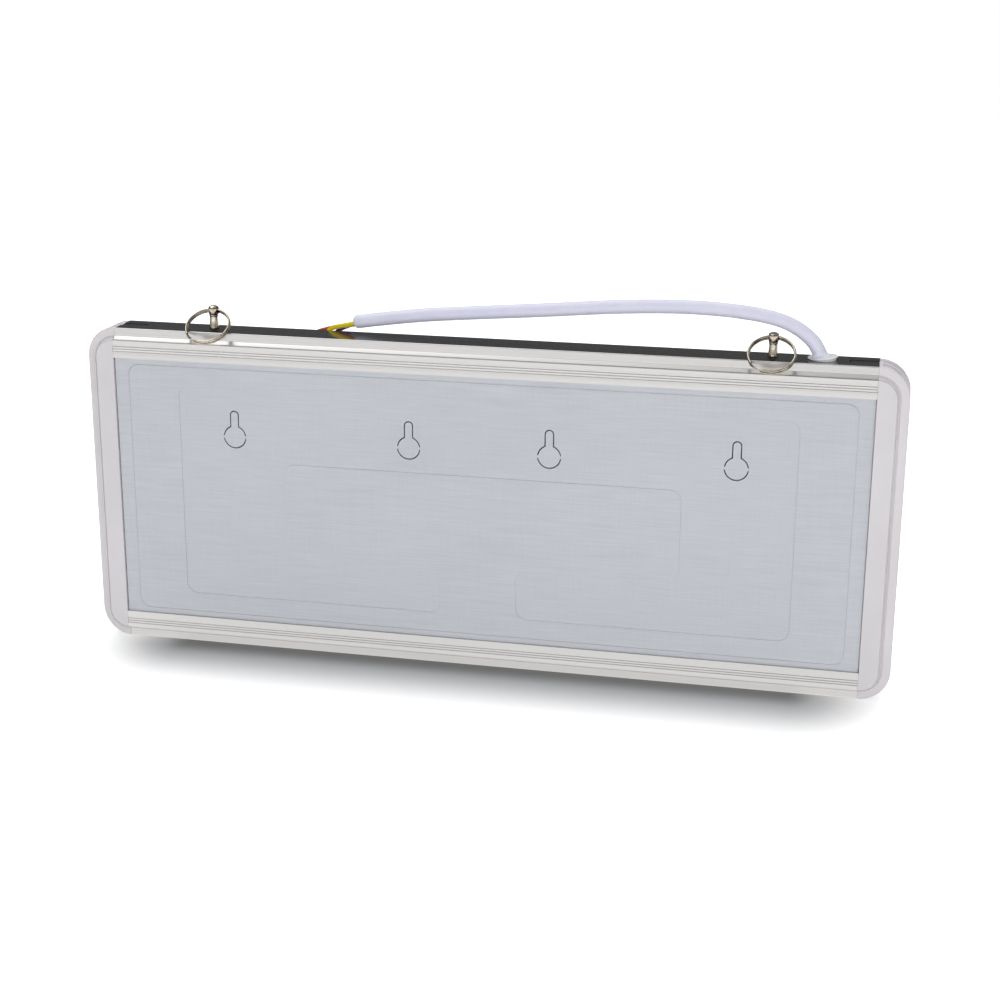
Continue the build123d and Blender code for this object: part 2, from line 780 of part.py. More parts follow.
# Control board on snap spacers that stand on the panel's plateau
board_back_y = field_inner_y + spacer_height
board_front_y = board_back_y + board_thickness
spacer_grid = (board_length - 2 * spacer_inset, board_height - 2 * spacer_inset)
board_plane = Plane(origin=(board_x, board_back_y, board_z), x_dir=(-1, 0, 0), z_dir=(0, 1, 0))

with BuildPart() as control_board:
    with BuildSketch(board_plane):
        RectangleRounded(board_length, board_height, 1.0)
        with GridLocations(*spacer_grid, 2, 2):
            Circle(spacer_snap_radius + sheet_gap, mode=Mode.SUBTRACT)
    extrude(amount=board_thickness)
save(control_board, "control_board")

with BuildPart() as board_spacers:
    with BuildSketch(board_plane.offset(-spacer_height)):
        with GridLocations(*spacer_grid, 2, 2):
            Circle(spacer_foot_radius)
    extrude(amount=1.0)
    with BuildSketch(board_plane.offset(-spacer_height)):
        with GridLocations(*spacer_grid, 2, 2):
            Circle(spacer_stem_radius)
    extrude(amount=spacer_height)
    with BuildSketch(board_plane):
        with GridLocations(*spacer_grid, 2, 2):
            Circle(spacer_snap_radius)
    extrude(amount=board_thickness + 0.1)
    with BuildSketch(board_plane.offset(board_thickness + 0.1)):
        with GridLocations(*spacer_grid, 2, 2):
            Circle(spacer_snap_radius + 0.4)
    extrude(amount=1.6, taper=25)
save(board_spacers, "board_spacers")

# Transformer: a split core round a bobbin
with BuildPart() as transformer:
    with BuildSketch(board_plane.offset(board_thickness)):
        with Locations((transformer_x, 0)):
            RectangleRounded(transformer_length, transformer_height, 1.0)
    extrude(amount=transformer_seat)
    with BuildSketch(board_plane.offset(board_thickness + transformer_seat)):
        with Locations((transformer_x, 0)):
            RectangleRounded(winding_length, winding_height, 2.5)
    extrude(amount=winding_depth)
    with BuildSketch(board_plane.offset(board_thickness + transformer_seat)):
        with Locations((transformer_x, 0)):
            Rectangle(transformer_length, core_height)
    extrude(amount=core_depth)
save(transformer, "transformer")

# Other parts of the board: two upright capacitors, a converter chip and two lead sockets
with BuildPart() as board_parts:
    with BuildSketch(board_plane.offset(board_thickness)):
        with Locations((capacitor_x, capacitor_z), (capacitor_x, -capacitor_z)):
            Circle(capacitor_radius)
    extrude(amount=capacitor_length)
    fillet(board_parts.edges().group_by(Axis.Y)[-1], radius=0.6)
    with BuildSketch(board_plane.offset(board_thickness)):
        with Locations((-chip_x, 0)):
            Rectangle(chip_length, chip_height)
        with Locations((-chip_x, -small_part_z), (chip_x, -small_part_z - small_part_shift)):
            Rectangle(small_part_length, small_part_height)
    extrude(amount=small_part_depth)
    with BuildSketch(board_plane.offset(board_thickness)):
        with Locations((battery_socket_x, battery_socket_z), (-lamp_socket_x, lamp_socket_z)):
            Rectangle(socket_length, socket_height)
    extrude(amount=socket_depth)
save(board_parts, "board_parts")

# Terminal block at the cable's end of the board
terminal_local_x = -(board_length / 2 - terminal_inset - terminal_length / 2)
terminal_x = board_x - terminal_local_x
terminal_mouth_y = board_front_y + terminal_height * 0.42
core_stations = [(step * terminal_pitch) for step in (-1, 0, 1)]
with BuildPart() as terminal_block:
    with BuildSketch(board_plane.offset(board_thickness)):
        with Locations((terminal_local_x, 0)):
            Rectangle(terminal_length, terminal_width)
    extrude(amount=terminal_height)
    top_edges = terminal_block.faces().sort_by(Axis.Y)[-1].edges()
    chamfer(top_edges, length=0.8)
    for station in core_stations:
        mouth = Plane(
            origin=(terminal_x + terminal_length / 2, terminal_mouth_y, board_z + station),
            z_dir=(1, 0, 0),
        )
        with Locations(mouth):
            Cylinder(terminal_bore, terminal_length, mode=Mode.SUBTRACT)
        screw_well = Plane(
            origin=(terminal_x, board_front_y + terminal_height, board_z + station),
            z_dir=(0, 1, 0),
        )
        with Locations(screw_well):
            Cylinder(terminal_bore, 3.0, mode=Mode.SUBTRACT)
save(terminal_block, "terminal_block")

# Inner cores: from the sheath's end into the three mouths of the terminal block
with BuildPart() as inner_cores:
    sheath_end_x = clamp_x - clamp_length
    for station in core_stations:
        spread = station / terminal_pitch
        begin_y = clamp_y + (0.9 if station == 0 else -0.7)
        begin = (sheath_end_x, begin_y, board_z + spread * core_pitch_radius)
        middle_x = (sheath_end_x + terminal_x + terminal_length / 2) / 2
        stages = [
            begin,
            (sheath_end_x - 4.0, begin[1], begin[2]),
            (middle_x, begin[1] + 0.35 * (terminal_mouth_y - begin[1]), board_z + station * 0.62),
            (terminal_x + terminal_length / 2 + 4.0, terminal_mouth_y, board_z + station * 0.99),
            (terminal_x + 3.0, terminal_mouth_y, board_z + station),
        ]
        with BuildLine() as core_route:
            FilletPolyline(*stages, radius=tube_radii(stages, 0.4))
        core_path = core_route.wire()
        with BuildSketch(Plane(origin=core_path @ 0, z_dir=core_path % 0)):
            Circle(core_diameter / 2)
        sweep(path=core_path)
save(inner_cores, "inner_cores")

# Cable clamp: a base on the panel, a bar across the cable and two screws
clamp_plane = Plane(origin=(clamp_x, field_inner_y, board_z), x_dir=(-1, 0, 0), z_dir=(0, 1, 0))
bar_seat = clamp_base + cable_diameter * 0.6
bar_relief = cable_diameter * 0.4
saddle = Plane(origin=(clamp_x, clamp_y, board_z), z_dir=(1, 0, 0))
with BuildPart() as cable_clamp:
    with BuildSketch(clamp_plane):
        RectangleRounded(clamp_length, clamp_width, 1.0)
    extrude(amount=bar_seat)
    with Locations(saddle):
        Cylinder(cable_diameter / 2 + clamp_fit, 2 * clamp_length, mode=Mode.SUBTRACT)
    with Locations((clamp_x, field_inner_y + bar_seat, board_z + clamp_screw_offset)):
        Cylinder(clamp_screw_radius + 0.05, 6.0, rotation=(90, 0, 0), mode=Mode.SUBTRACT)
    with Locations((clamp_x, field_inner_y + bar_seat, board_z - clamp_screw_offset)):
        Cylinder(clamp_screw_radius + 0.05, 6.0, rotation=(90, 0, 0), mode=Mode.SUBTRACT)
save(cable_clamp, "cable_clamp")

with BuildPart() as clamp_bar:
    with BuildSketch(clamp_plane.offset(bar_seat + clamp_bar_gap)):
        RectangleRounded(clamp_length - 1.0, clamp_width - 1.0, 1.0)
        with Locations((0, clamp_screw_offset), (0, -clamp_screw_offset)):
            Circle(clamp_screw_radius + 0.1, mode=Mode.SUBTRACT)
    extrude(amount=bar_relief + clamp_bar_height)
    with Locations(saddle):
        Cylinder(cable_diameter / 2 + clamp_fit, 2 * clamp_length, mode=Mode.SUBTRACT)
save(clamp_bar, "clamp_bar")

screw_seat = bar_seat + clamp_bar_gap + bar_relief + clamp_bar_height
with BuildPart() as clamp_screws:
    with BuildSketch(clamp_plane.offset(screw_seat)):
        with Locations((0, clamp_screw_offset), (0, -clamp_screw_offset)):
            Circle(2 * clamp_screw_radius)
    extrude(amount=1.3, taper=20)
    with BuildSketch(clamp_plane.offset(screw_seat)):
        with Locations((0, clamp_screw_offset), (0, -clamp_screw_offset)):
            Circle(clamp_screw_radius)
    extrude(amount=-(screw_seat - bar_seat + 2.5))
save(clamp_screws, "clamp_screws")

# Battery pack: three cells in one shrink sleeve, in a cradle bonded to the plateau
battery_y = field_inner_y + cradle_wall + sheet_gap + cell_diameter / 2
pack_height = cell_count * cell_diameter
with BuildPart() as battery_pack:
    with BuildSketch(Plane(origin=(battery_x, battery_y, board_z), x_dir=(0, 1, 0), z_dir=(1, 0, 0))):
        with GridLocations(0, cell_diameter, 1, cell_count):
            Circle(cell_diameter / 2)
        Rectangle(cell_diameter * 0.9, pack_height - cell_diameter)
    extrude(amount=cell_length / 2, both=True)
    fillet(battery_pack.edges().group_by(Axis.X)[-1], radius=0.5)
    fillet(battery_pack.edges().group_by(Axis.X)[0], radius=0.5)
save(battery_pack, "battery_pack")

with BuildPart() as battery_cradle:
    cradle_plane = Plane(origin=(battery_x, field_inner_y, board_z), x_dir=(-1, 0, 0), z_dir=(0, 1, 0))
    pocket_length = cell_length + 2 * seat_gap
    pocket_height = pack_height + 2 * seat_gap
    with BuildSketch(cradle_plane):
        RectangleRounded(pocket_length + 2 * cradle_wall, pocket_height + 2 * cradle_wall, 1.5)
    extrude(amount=cradle_wall + cradle_side)
    with BuildSketch(cradle_plane.offset(cradle_wall)):
        Rectangle(pocket_length, pocket_height)
    extrude(amount=cradle_side, mode=Mode.SUBTRACT)
    with BuildSketch(cradle_plane.offset(cradle_wall)):
        Rectangle(pocket_length + 4 * cradle_wall, cell_diameter)
        Rectangle(cell_length / 2, pocket_height + 4 * cradle_wall)
    extrude(amount=cradle_side, mode=Mode.SUBTRACT)
save(battery_cradle, "battery_cradle")

# Battery leads and lamp leads, two wires each
with BuildPart() as battery_leads:
    pack_end_x = battery_x + cell_length / 2
    socket_x = board_x - battery_socket_x - socket_length / 2
    for shift in (-1.0, 1.0):
        lead_z = board_z + shift
        lead_points = [
            (pack_end_x + seat_gap, battery_y + 1.5, lead_z),
            (pack_end_x + 5.0, battery_y + 2.0, lead_z + 0.5 * shift),
            (pack_end_x + 10.0, battery_y + 2.8, lead_z + 3.0),
            (socket_x - 4.0, board_front_y + 3.4, lead_z + 6.2),
            (socket_x - seat_gap, board_front_y + 3.0, lead_z + battery_socket_z),
        ]
        with BuildLine() as lead_route:
            FilletPolyline(*lead_points, radius=tube_radii(lead_points, 0.4))
        lead_path = lead_route.wire()
        with BuildSketch(Plane(origin=lead_path @ 0, z_dir=lead_path % 0)):
            Circle(wire_diameter / 2)
        sweep(path=lead_path)
save(battery_leads, "battery_leads")

with BuildPart() as led_leads:
    lamp_lead_x = board_x + lamp_socket_x
    socket_top_z = board_z + lamp_socket_z + socket_height / 2
    lead_end_y = led_board_y - led_board_width / 2
    lead_end_z = led_board_top - led_board_thickness / 2
    for shift in (-1.1, 1.1):
        climb = lead_end_z - board_z
        lead_points = [
            (lamp_lead_x + shift, board_front_y + 4.0, socket_top_z + seat_gap),
            (lamp_lead_x + shift, board_front_y + 4.4, board_z + 0.319 * climb),
            (lamp_lead_x + shift + 2.0, board_front_y + 5.4, board_z + 0.505 * climb),
            (lamp_lead_x + shift + 1.0, board_front_y + 6.8, board_z + 0.717 * climb),
            (lamp_lead_x + shift, board_front_y + 7.2, board_z + 0.85 * climb),
            (lamp_lead_x + shift + 0.2, (board_front_y + lead_end_y) / 2 + 4.0, lead_end_z - 3.0),
            (lamp_lead_x + shift, lead_end_y - 1.6, lead_end_z - 0.3),
            (lamp_lead_x + shift, lead_end_y - seat_gap, lead_end_z),
        ]
        with BuildLine() as lead_route:
            FilletPolyline(*lead_points, radius=tube_radii(lead_points, 0.4))
        lead_path = lead_route.wire()
        with BuildSketch(Plane(origin=lead_path @ 0, z_dir=lead_path % 0)):
            Circle(wire_diameter / 2)
        sweep(path=lead_path)
save(led_leads, "led_leads")
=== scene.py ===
"""Looks of a slim illuminated exit sign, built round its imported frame.

Lengths are in millimetres and angles in degrees, unless a text here says otherwise.
"""

import json
import logging
import math
from dataclasses import dataclass
from enum import Enum
from typing import Sequence

import bpy
from mathutils import Matrix, Vector


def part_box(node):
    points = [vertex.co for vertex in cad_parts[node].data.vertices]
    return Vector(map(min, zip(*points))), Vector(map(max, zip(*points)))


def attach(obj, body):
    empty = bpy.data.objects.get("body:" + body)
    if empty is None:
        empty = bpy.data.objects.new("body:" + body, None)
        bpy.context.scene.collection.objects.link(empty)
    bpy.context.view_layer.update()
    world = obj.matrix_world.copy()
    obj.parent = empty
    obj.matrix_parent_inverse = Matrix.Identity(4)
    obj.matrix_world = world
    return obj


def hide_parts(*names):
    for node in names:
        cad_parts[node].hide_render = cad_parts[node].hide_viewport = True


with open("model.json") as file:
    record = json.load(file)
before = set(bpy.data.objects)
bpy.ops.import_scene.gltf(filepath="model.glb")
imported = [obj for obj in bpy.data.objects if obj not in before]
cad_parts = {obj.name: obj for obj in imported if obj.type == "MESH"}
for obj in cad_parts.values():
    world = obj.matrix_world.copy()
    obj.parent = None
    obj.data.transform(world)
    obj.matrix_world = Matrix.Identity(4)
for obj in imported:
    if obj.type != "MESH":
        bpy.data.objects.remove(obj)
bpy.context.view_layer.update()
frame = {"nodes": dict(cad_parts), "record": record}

LOG = logging.getLogger("exit_sign")
MM = 0.001
FULL_TURN = 360.0
HALF_FACE = 9.0
WEB_WALL = 1.6
WEB_MARGIN = 0.3
WELD_REACH = 0.002
FLAT_ANGLE = 0.5
Point = tuple[float, float, float]
Flat = tuple[float, float]
Colour = tuple[float, float, float]
Piece = bpy.types.Object
Material = bpy.types.Material
Socket = bpy.types.NodeSocket


class Body(Enum):
    """The bodies of the frame that pieces ride on."""

    SIGN = "sign"
    RING_LEFT = "ring_left"
    RING_RIGHT = "ring_right"


class Side(Enum):
    """The sign's two ends, by the word that stands in node names."""

    LEFT = "left"
    RIGHT = "right"


def linear(red: int, green: int, blue: int) -> Colour:
    """Turn a screen colour into the linear values that shaders take.

    Args:
        red: Red from 0 to 255.
        green: Green from 0 to 255.
        blue: Blue from 0 to 255.

    Returns:
        The colour in linear light.
    """

    def one(value: int) -> float:
        """Turn one channel into linear light."""
        share = value / 255
        return share / 12.92 if share <= 0.04045 else ((share + 0.055) / 1.055) ** 2.4

    return one(red), one(green), one(blue)


def deselect() -> None:
    """Leave edit mode and deselect every object."""
    if bpy.context.object and bpy.context.object.mode != "OBJECT":
        bpy.ops.object.mode_set(mode="OBJECT")
    bpy.ops.object.select_all(action="DESELECT")


def take(piece: Piece) -> None:
    """Select one piece alone and make it active.

    Args:
        piece: The piece.
    """
    deselect()
    piece.select_set(True)
    bpy.context.view_layer.objects.active = piece


def settle(piece: Piece) -> None:
    """Move a piece's place, turn and scale into its mesh."""
    take(piece)
    bpy.ops.object.transform_apply(location=True, rotation=True, scale=True)


def bring_in(name: str, data: bpy.types.ID) -> Piece:
    """Put a new object into the scene.

    Args:
        name: The object's name.
        data: Its mesh, curve, lamp or camera data.

    Returns:
        The object.
    """
    piece = bpy.data.objects.new(name, data)
    bpy.context.scene.collection.objects.link(piece)
    return piece


def open_mesh(piece: Piece) -> None:
    """Enter edit mode on one piece, with its whole mesh selected.

    Args:
        piece: The piece.
    """
    take(piece)
    bpy.ops.object.mode_set(mode="EDIT")
    bpy.ops.mesh.select_all(action="SELECT")


def close_mesh() -> None:
    """Leave edit mode."""
    bpy.ops.object.mode_set(mode="OBJECT")


def seal_mesh(reach: float = WELD_REACH) -> None:
    """Join the points of the mesh in edit mode, turn its faces outwards and leave edit mode.

    Args:
        reach: Points nearer than this many millimetres are joined.
    """
    bpy.ops.mesh.select_all(action="SELECT")
    bpy.ops.mesh.remove_doubles(threshold=reach * MM)
    bpy.ops.mesh.normals_make_consistent(inside=False)
    close_mesh()


def smooth(piece: Piece, angle: float = 30.0) -> None:
    """Shade a piece smooth, but keep its edges sharper than the angle in degrees."""
    take(piece)
    bpy.ops.object.shade_smooth_by_angle(angle=math.radians(angle))


def bevel(piece: Piece, width: float, angle: float = 28.0) -> None:
    """Round a piece's edges with an applied bevel of two faces.

    Args:
        piece: The piece.
        width: The bevel's width.
        angle: Edges flatter than this many degrees stay as they are.
    """
    take(piece)
    rounder = piece.modifiers.new("edge round", "BEVEL")
    rounder.width = width * MM
    rounder.segments = 2
    rounder.limit_method = "ANGLE"
    rounder.angle_limit = math.radians(angle)
    rounder.use_clamp_overlap = False
    rounder.miter_outer = "MITER_ARC"
    bpy.ops.object.modifier_apply(modifier=rounder.name)


def refined_copy(node: str, name: str, width: float, angle: float = 28.0) -> Piece:
    """Copy a node's mesh, round its edges and let its large faces set the shading.

    Args:
        node: The frame's node that the copy stands for.
        name: The new piece's name.
        width: The width of the edge round.
        angle: Edges flatter than this many degrees stay as they are.

    Returns:
        The new piece.
    """
    piece = bring_in(name, frame["nodes"][node].data.copy())
    piece.data.materials.clear()
    open_mesh(piece)
    bpy.ops.mesh.customdata_custom_splitnormals_clear()
    bpy.ops.mesh.remove_doubles(threshold=WELD_REACH * MM)
    bpy.ops.mesh.dissolve_limited(angle_limit=math.radians(FLAT_ANGLE))
    close_mesh()
    if width > 0:
        bevel(piece, width, angle)
    low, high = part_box(node)
    for vertex in piece.data.vertices:
        vertex.co.z = min(max(vertex.co.z, low.z), high.z)
    smooth(piece)
    weigher = piece.modifiers.new("face weights", "WEIGHTED_NORMAL")
    weigher.mode = "FACE_AREA"
    weigher.weight = 100
    weigher.keep_sharp = True
    bpy.ops.object.modifier_apply(modifier=weigher.name)
    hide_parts(node)
    return piece


def dress(piece: Piece, material: Material, body: Body) -> None:
    """Give a piece its finish and the body it moves with.

    Args:
        piece: The piece.
        material: Its finish.
        body: The body.
    """
    piece.data.materials.clear()
    piece.data.materials.append(material)
    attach(piece, body.value)
    LOG.info("%s in %s", piece.name, material.name)


def paint_web_shade(piece: Piece, material: Material, reach: float = math.inf) -> None:
    """Paint the top web, its slots and the tongues in them near-black, as painted shade.

    Args:
        piece: A rail or an end cap, already dressed in its main finish.
        material: The near-black finish of the painted shade.
        reach: Faces further than this from the middle, along X, keep the main finish.
    """
    piece.data.materials.append(material)
    web_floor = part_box("top_rail")[1].z - WEB_WALL * MM
    flank = (HALF_FACE - WEB_MARGIN) * MM
    facing_down = -0.5
    # Faces on the web and its slot walls that don't face down take the painted shade.
    for face in piece.data.polygons:
        on_web = face.center.z > web_floor and abs(face.center.y) < flank
        if on_web and face.normal.z > facing_down and abs(face.center.x) < reach * MM:
            face.material_index = 1


def arc(centre: Flat, reach: Flat, start: float, end: float, count: int = 8) -> list[Flat]:
    """Give points on a quarter or part of an ellipse.

    Args:
        centre: The ellipse's middle, as radius and height.
        reach: Its half widths.
        start: The first angle in degrees, from the outward side.
        end: The last angle.
        count: How many steps the arc has.

    Returns:
        The points from the start to the end.
    """
    points = []
    for step in range(count + 1):
        turn = math.radians(start + (end - start) * step / count)
        points.append((centre[0] + reach[0] * math.cos(turn), centre[1] + reach[1] * math.sin(turn)))
    return points


def turned(name: str, profile: Sequence[Flat], steps: int = 64, closed: bool = False) -> Piece:
    """Spin a profile round the Z axis into a closed piece.

    Args:
        name: The piece's name.
        profile: Radius and height of each point.
        steps: How many faces go round.
        closed: Whether the last point joins the first, as on a ring.

    Returns:
        The piece, standing at the origin.
    """
    count = len(profile)
    edges = [(step, step + 1) for step in range(count - 1)]
    if closed:
        edges.append((count - 1, 0))
    mesh = bpy.data.meshes.new(name)
    mesh.from_pydata([(radius * MM, 0, height * MM) for radius, height in profile], edges, [])
    piece = bring_in(name, mesh)
    open_mesh(piece)
    bpy.ops.mesh.spin(steps=steps, angle=2 * math.pi, center=(0, 0, 0), axis=(0, 0, 1))
    seal_mesh(WELD_REACH / 2)
    return piece


def round_curve(name: str, points: Sequence[Vector], diameter: float, kind: str, section: int) -> Piece:
    """Lead a round section along a route and close its ends.

    Args:
        name: The piece's name.
        points: The route.
        diameter: The section's diameter.
        kind: Blender's word for the way in which the curve follows the points.
        section: How finely the section is divided.

    Returns:
        The curve.
    """
    curve = bpy.data.curves.new(name, "CURVE")
    curve.dimensions = "3D"
    curve.bevel_depth = diameter / 2 * MM
    curve.bevel_resolution = section
    curve.resolution_u = 16
    curve.use_fill_caps = True
    spline = curve.splines.new(kind)
    spline.points.add(len(points) - 1)
    for point, place in zip(spline.points, points):
        point.co = (*(place * MM), 1.0)
    return bring_in(name, curve)


def cord_curve(name: str, points: Sequence[Vector], diameter: float) -> Piece:
    """Draw a cord as one smooth spline with the route's points as its control points.

    Args:
        name: The cord's name.
        points: The route.
        diameter: The cord's diameter.

    Returns:
        The cord.
    """
    cord = round_curve(name, points, diameter, "NURBS", 6)
    spline = cord.data.splines[0]
    spline.order_u = 3
    spline.use_endpoint_u = True
    return cord


class NodeTree:
    """A node tree, with short ways to add and join its nodes."""

    def __init__(self, tree: bpy.types.NodeTree) -> None:
        """Keep the tree that the nodes go into."""
        self.tree = tree

    def add(self, kind: str, **settings: object) -> bpy.types.Node:
        """Add a node and set its properties.

        Args:
            kind: Blender's name for the node.
            **settings: The node's properties.

        Returns:
            The node.
        """
        node = self.tree.nodes.new(kind)
        for key, value in settings.items():
            setattr(node, key, value)
        return node

    def link(self, source: Socket, target: Socket) -> None:
        """Join an output to an input."""
        self.tree.links.new(source, target)

    def feed(self, target: Socket, value: object) -> None:
        """Set an input, or join an output to it.

        Args:
            target: The input.
            value: A number, a colour or an output.
        """
        if isinstance(value, Socket):
            self.link(value, target)
        elif isinstance(value, tuple) and len(value) == 3 and target.type == "RGBA":
            target.default_value = (*value, 1.0)
        else:
            target.default_value = value

    def span(self, value: object, start: Flat, end: Flat = (0.0, 1.0), shape: str = "LINEAR") -> Socket:
        """Carry a value from one range to another and hold it at the ends.

        Args:
            value: The value's output.
            start: The range that it comes in.
            end: The range that it leaves in.
            shape: Blender's name for the way between the ends.

        Returns:
            The new value.
        """
        node = self.add("ShaderNodeMapRange", interpolation_type=shape)
        names = ("Value", "From Min", "From Max", "To Min", "To Max")
        for name, amount in zip(names, (value, *start, *end)):
            self.feed(node.inputs[name], amount)
        return node.outputs["Result"]

    def maths(self, operation: str, first: object, second: object) -> Socket:
        """Join two values by one operation.

        Args:
            operation: Blender's name for the operation.
            first: A number or an output.
            second: A number or an output.

        Returns:
            The result.
        """
        node = self.add("ShaderNodeMath", operation=operation)
        self.feed(node.inputs[0], first)
        self.feed(node.inputs[1], second)
        return node.outputs["Value"]

    def background(self, colour: object, strength: float = 1.0) -> Socket:
        """Make a background of one colour.

        Args:
            colour: A colour, or an output that gives one.
            strength: How bright it is.

        Returns:
            The background.
        """
        node = self.add("ShaderNodeBackground")
        self.feed(node.inputs["Color"], colour)
        self.feed(node.inputs["Strength"], strength)
        return node.outputs["Background"]

    def choose(self, share: Socket, first: Socket, second: Socket) -> Socket:
        """Choose between two backgrounds.

        Args:
            share: 0 for the first background and 1 for the second.
            first: The first background.
            second: The second background.

        Returns:
            The chosen background.
        """
        node = self.add("ShaderNodeMixShader")
        for target, value in zip(("Fac", 1, 2), (share, first, second)):
            self.link(value, node.inputs[target])
        return node.outputs["Shader"]


class NodeBoard(NodeTree):
    """One material's node tree, round a plain shader."""

    def __init__(self, name: str) -> None:
        """Start a material with a plain shader.

        Args:
            name: The material's name.
        """
        self.material = bpy.data.materials.new(name)
        self.material.use_nodes = True
        super().__init__(self.material.node_tree)
        self.shader = self.tree.nodes["Principled BSDF"]

    def set(self, **values: object) -> None:
        """Set constants on the shader's own sockets; underscores stand for spaces."""
        for key, value in values.items():
            self.feed(self.shader.inputs[key.replace("_", " ")], value)

    def place(self, scale: Point = (1.0, 1.0, 1.0)) -> Socket:
        """Give object coordinates, stretched along each axis.

        Args:
            scale: How much each axis is stretched.

        Returns:
            The coordinates.
        """
        coordinate = self.add("ShaderNodeTexCoord")
        mapping = self.add("ShaderNodeMapping")
        mapping.inputs["Scale"].default_value = scale
        self.link(coordinate.outputs["Object"], mapping.inputs["Vector"])
        return mapping.outputs["Vector"]

    def noise(self, scale: Point, detail: float = 2.0, roughness: float = 0.5) -> Socket:
        """Give a noise pattern.

        Args:
            scale: One over the grain along each axis, in metres.
            detail: How many finer layers it has.
            roughness: How strong the finer layers are.

        Returns:
            The pattern, from 0 to 1.
        """
        noise = self.add("ShaderNodeTexNoise")
        noise.inputs["Scale"].default_value = 1.0
        noise.inputs["Detail"].default_value = detail
        noise.inputs["Roughness"].default_value = roughness
        self.link(self.place(scale), noise.inputs["Vector"])
        return noise.outputs["Fac"]

    def cloud(self, scale: float, detail: float = 2.0) -> Socket:
        """Give a noise pattern with the same grain along every axis."""
        return self.noise((scale, scale, scale), detail)

    def spread(self, value: Socket, low: float, high: float) -> Socket:
        """Stretch the middle of a 0 to 1 pattern over a range."""
        return self.span(value, (0.3, 0.7), (low, high))

    def tint(self, share: Socket, dark: Colour, light: Colour) -> None:
        """Colour the shader between two tones.

        Args:
            share: How much of the light tone there is, from 0 to 1.
            dark: The dark tone.
            light: The light tone.
        """
        mix = self.add("ShaderNodeMix", data_type="RGBA")
        self.link(share, mix.inputs["Factor"])
        self.feed(mix.inputs[6], dark)
        self.feed(mix.inputs[7], light)
        self.link(mix.outputs[2], self.shader.inputs["Base Color"])

    def rough(self, socket: Socket) -> None:
        """Feed the shader's roughness."""
        self.link(socket, self.shader.inputs["Roughness"])

    def bump(self, height: Socket, depth: float, strength: float = 0.5) -> None:
        """Feed the shader's normal from a height pattern.

        Args:
            height: The pattern.
            depth: Its depth.
            strength: How much of it shows.
        """
        bump = self.add("ShaderNodeBump")
        bump.inputs["Strength"].default_value = strength
        bump.inputs["Distance"].default_value = depth * MM
        self.link(height, bump.inputs["Height"])
        self.link(bump.outputs["Normal"], self.shader.inputs["Normal"])


@dataclass(frozen=True)
class DrawnMetal:
    """Satin aluminium with the fine die lines of an extrusion along X."""

    name: str = "drawn aluminium"
    light: Colour = linear(211, 209, 207)
    dark: Colour = linear(199, 197, 196)
    metallic: float = 0.9
    roughness: float = 0.3
    coat: float = 0.0
    line_grain: Point = (0.4, 1900.0, 1900.0)
    streak_grain: Point = (1.0, 700.0, 700.0)
    line_depth: float = 0.0015

    def make(self) -> Material:
        """Build the finish.

        Returns:
            The material.
        """
        board = NodeBoard(self.name)
        board.set(Metallic=self.metallic, Specular_IOR_Level=0.5)
        board.set(Coat_Weight=self.coat, Coat_Roughness=self.roughness)
        lines = board.noise(self.line_grain, 3.0, 0.6)
        streaks = board.noise(self.streak_grain)
        board.tint(board.spread(lines, 0.0, 1.0), self.dark, self.light)
        board.rough(board.spread(streaks, self.roughness - 0.05, self.roughness + 0.08))
        board.bump(lines, self.line_depth, 0.4)
        return board.material


@dataclass(frozen=True)
class MouldedPlastic:
    """Smooth pale moulded plastic with a faint grain."""

    name: str
    colour: Colour
    shade: Colour
    roughness: float = 0.42
    cloud: float = 35.0
    grain: float = 1800.0
    depth: float = 0.01

    def make(self) -> Material:
        """Build the finish.

        Returns:
            The material.
        """
        board = NodeBoard(self.name)
        board.set(Metallic=0.0)
        grain = board.cloud(self.grain)
        board.tint(board.spread(board.cloud(self.cloud), 0.0, 1.0), self.shade, self.colour)
        board.rough(board.spread(grain, self.roughness - 0.04, self.roughness + 0.05))
        board.bump(grain, self.depth)
        return board.material


@dataclass(frozen=True)
class BrushedSheet:
    """Pale blue-grey sheet, brushed both ways like fine linen."""

    name: str = "brushed sheet"
    light: Colour = linear(208, 211, 216)
    dark: Colour = linear(194, 197, 203)
    roughness: float = 0.46
    along_grain: Point = (45.0, 900.0, 1500.0)
    across_grain: Point = (1500.0, 900.0, 60.0)
    cloud_grain: Point = (9.0, 9.0, 14.0)
    along_share: float = 0.75
    depth: float = 0.01

    def make(self) -> Material:
        """Build the finish.

        Returns:
            The material.
        """
        board = NodeBoard(self.name)
        board.set(Metallic=0.2)
        along = board.maths("MULTIPLY", board.noise(self.along_grain, 4.0, 0.6), self.along_share)
        across = board.maths("MULTIPLY", board.noise(self.across_grain, 4.0, 0.6), 1 - self.along_share)
        weave = board.maths("ADD", along, across)
        cloud = board.spread(board.noise(self.cloud_grain), -0.12, 0.12)
        board.tint(board.maths("ADD", board.spread(weave, 0.1, 0.9), cloud), self.dark, self.light)
        board.rough(board.spread(weave, self.roughness + 0.08, self.roughness - 0.06))
        board.bump(weave, self.depth)
        return board.material


@dataclass(frozen=True)
class PlatedMetal:
    """Bright plate with slight ripples and dull specks."""

    name: str = "nickel plate"
    light: Colour = linear(206, 198, 184)
    dark: Colour = linear(160, 150, 134)
    roughness: float = 0.1
    speck: float = 400.0
    ripple: float = 900.0
    depth: float = 0.003

    def make(self) -> Material:
        """Build the finish.

        Returns:
            The material.
        """
        board = NodeBoard(self.name)
        board.set(Metallic=1.0)
        specks = board.cloud(self.speck, 3.0)
        board.tint(board.spread(specks, 0.0, 1.0), self.dark, self.light)
        board.rough(board.spread(specks, self.roughness + 0.06, self.roughness - 0.04))
        board.bump(board.cloud(self.ripple), self.depth, 0.35)
        return board.material


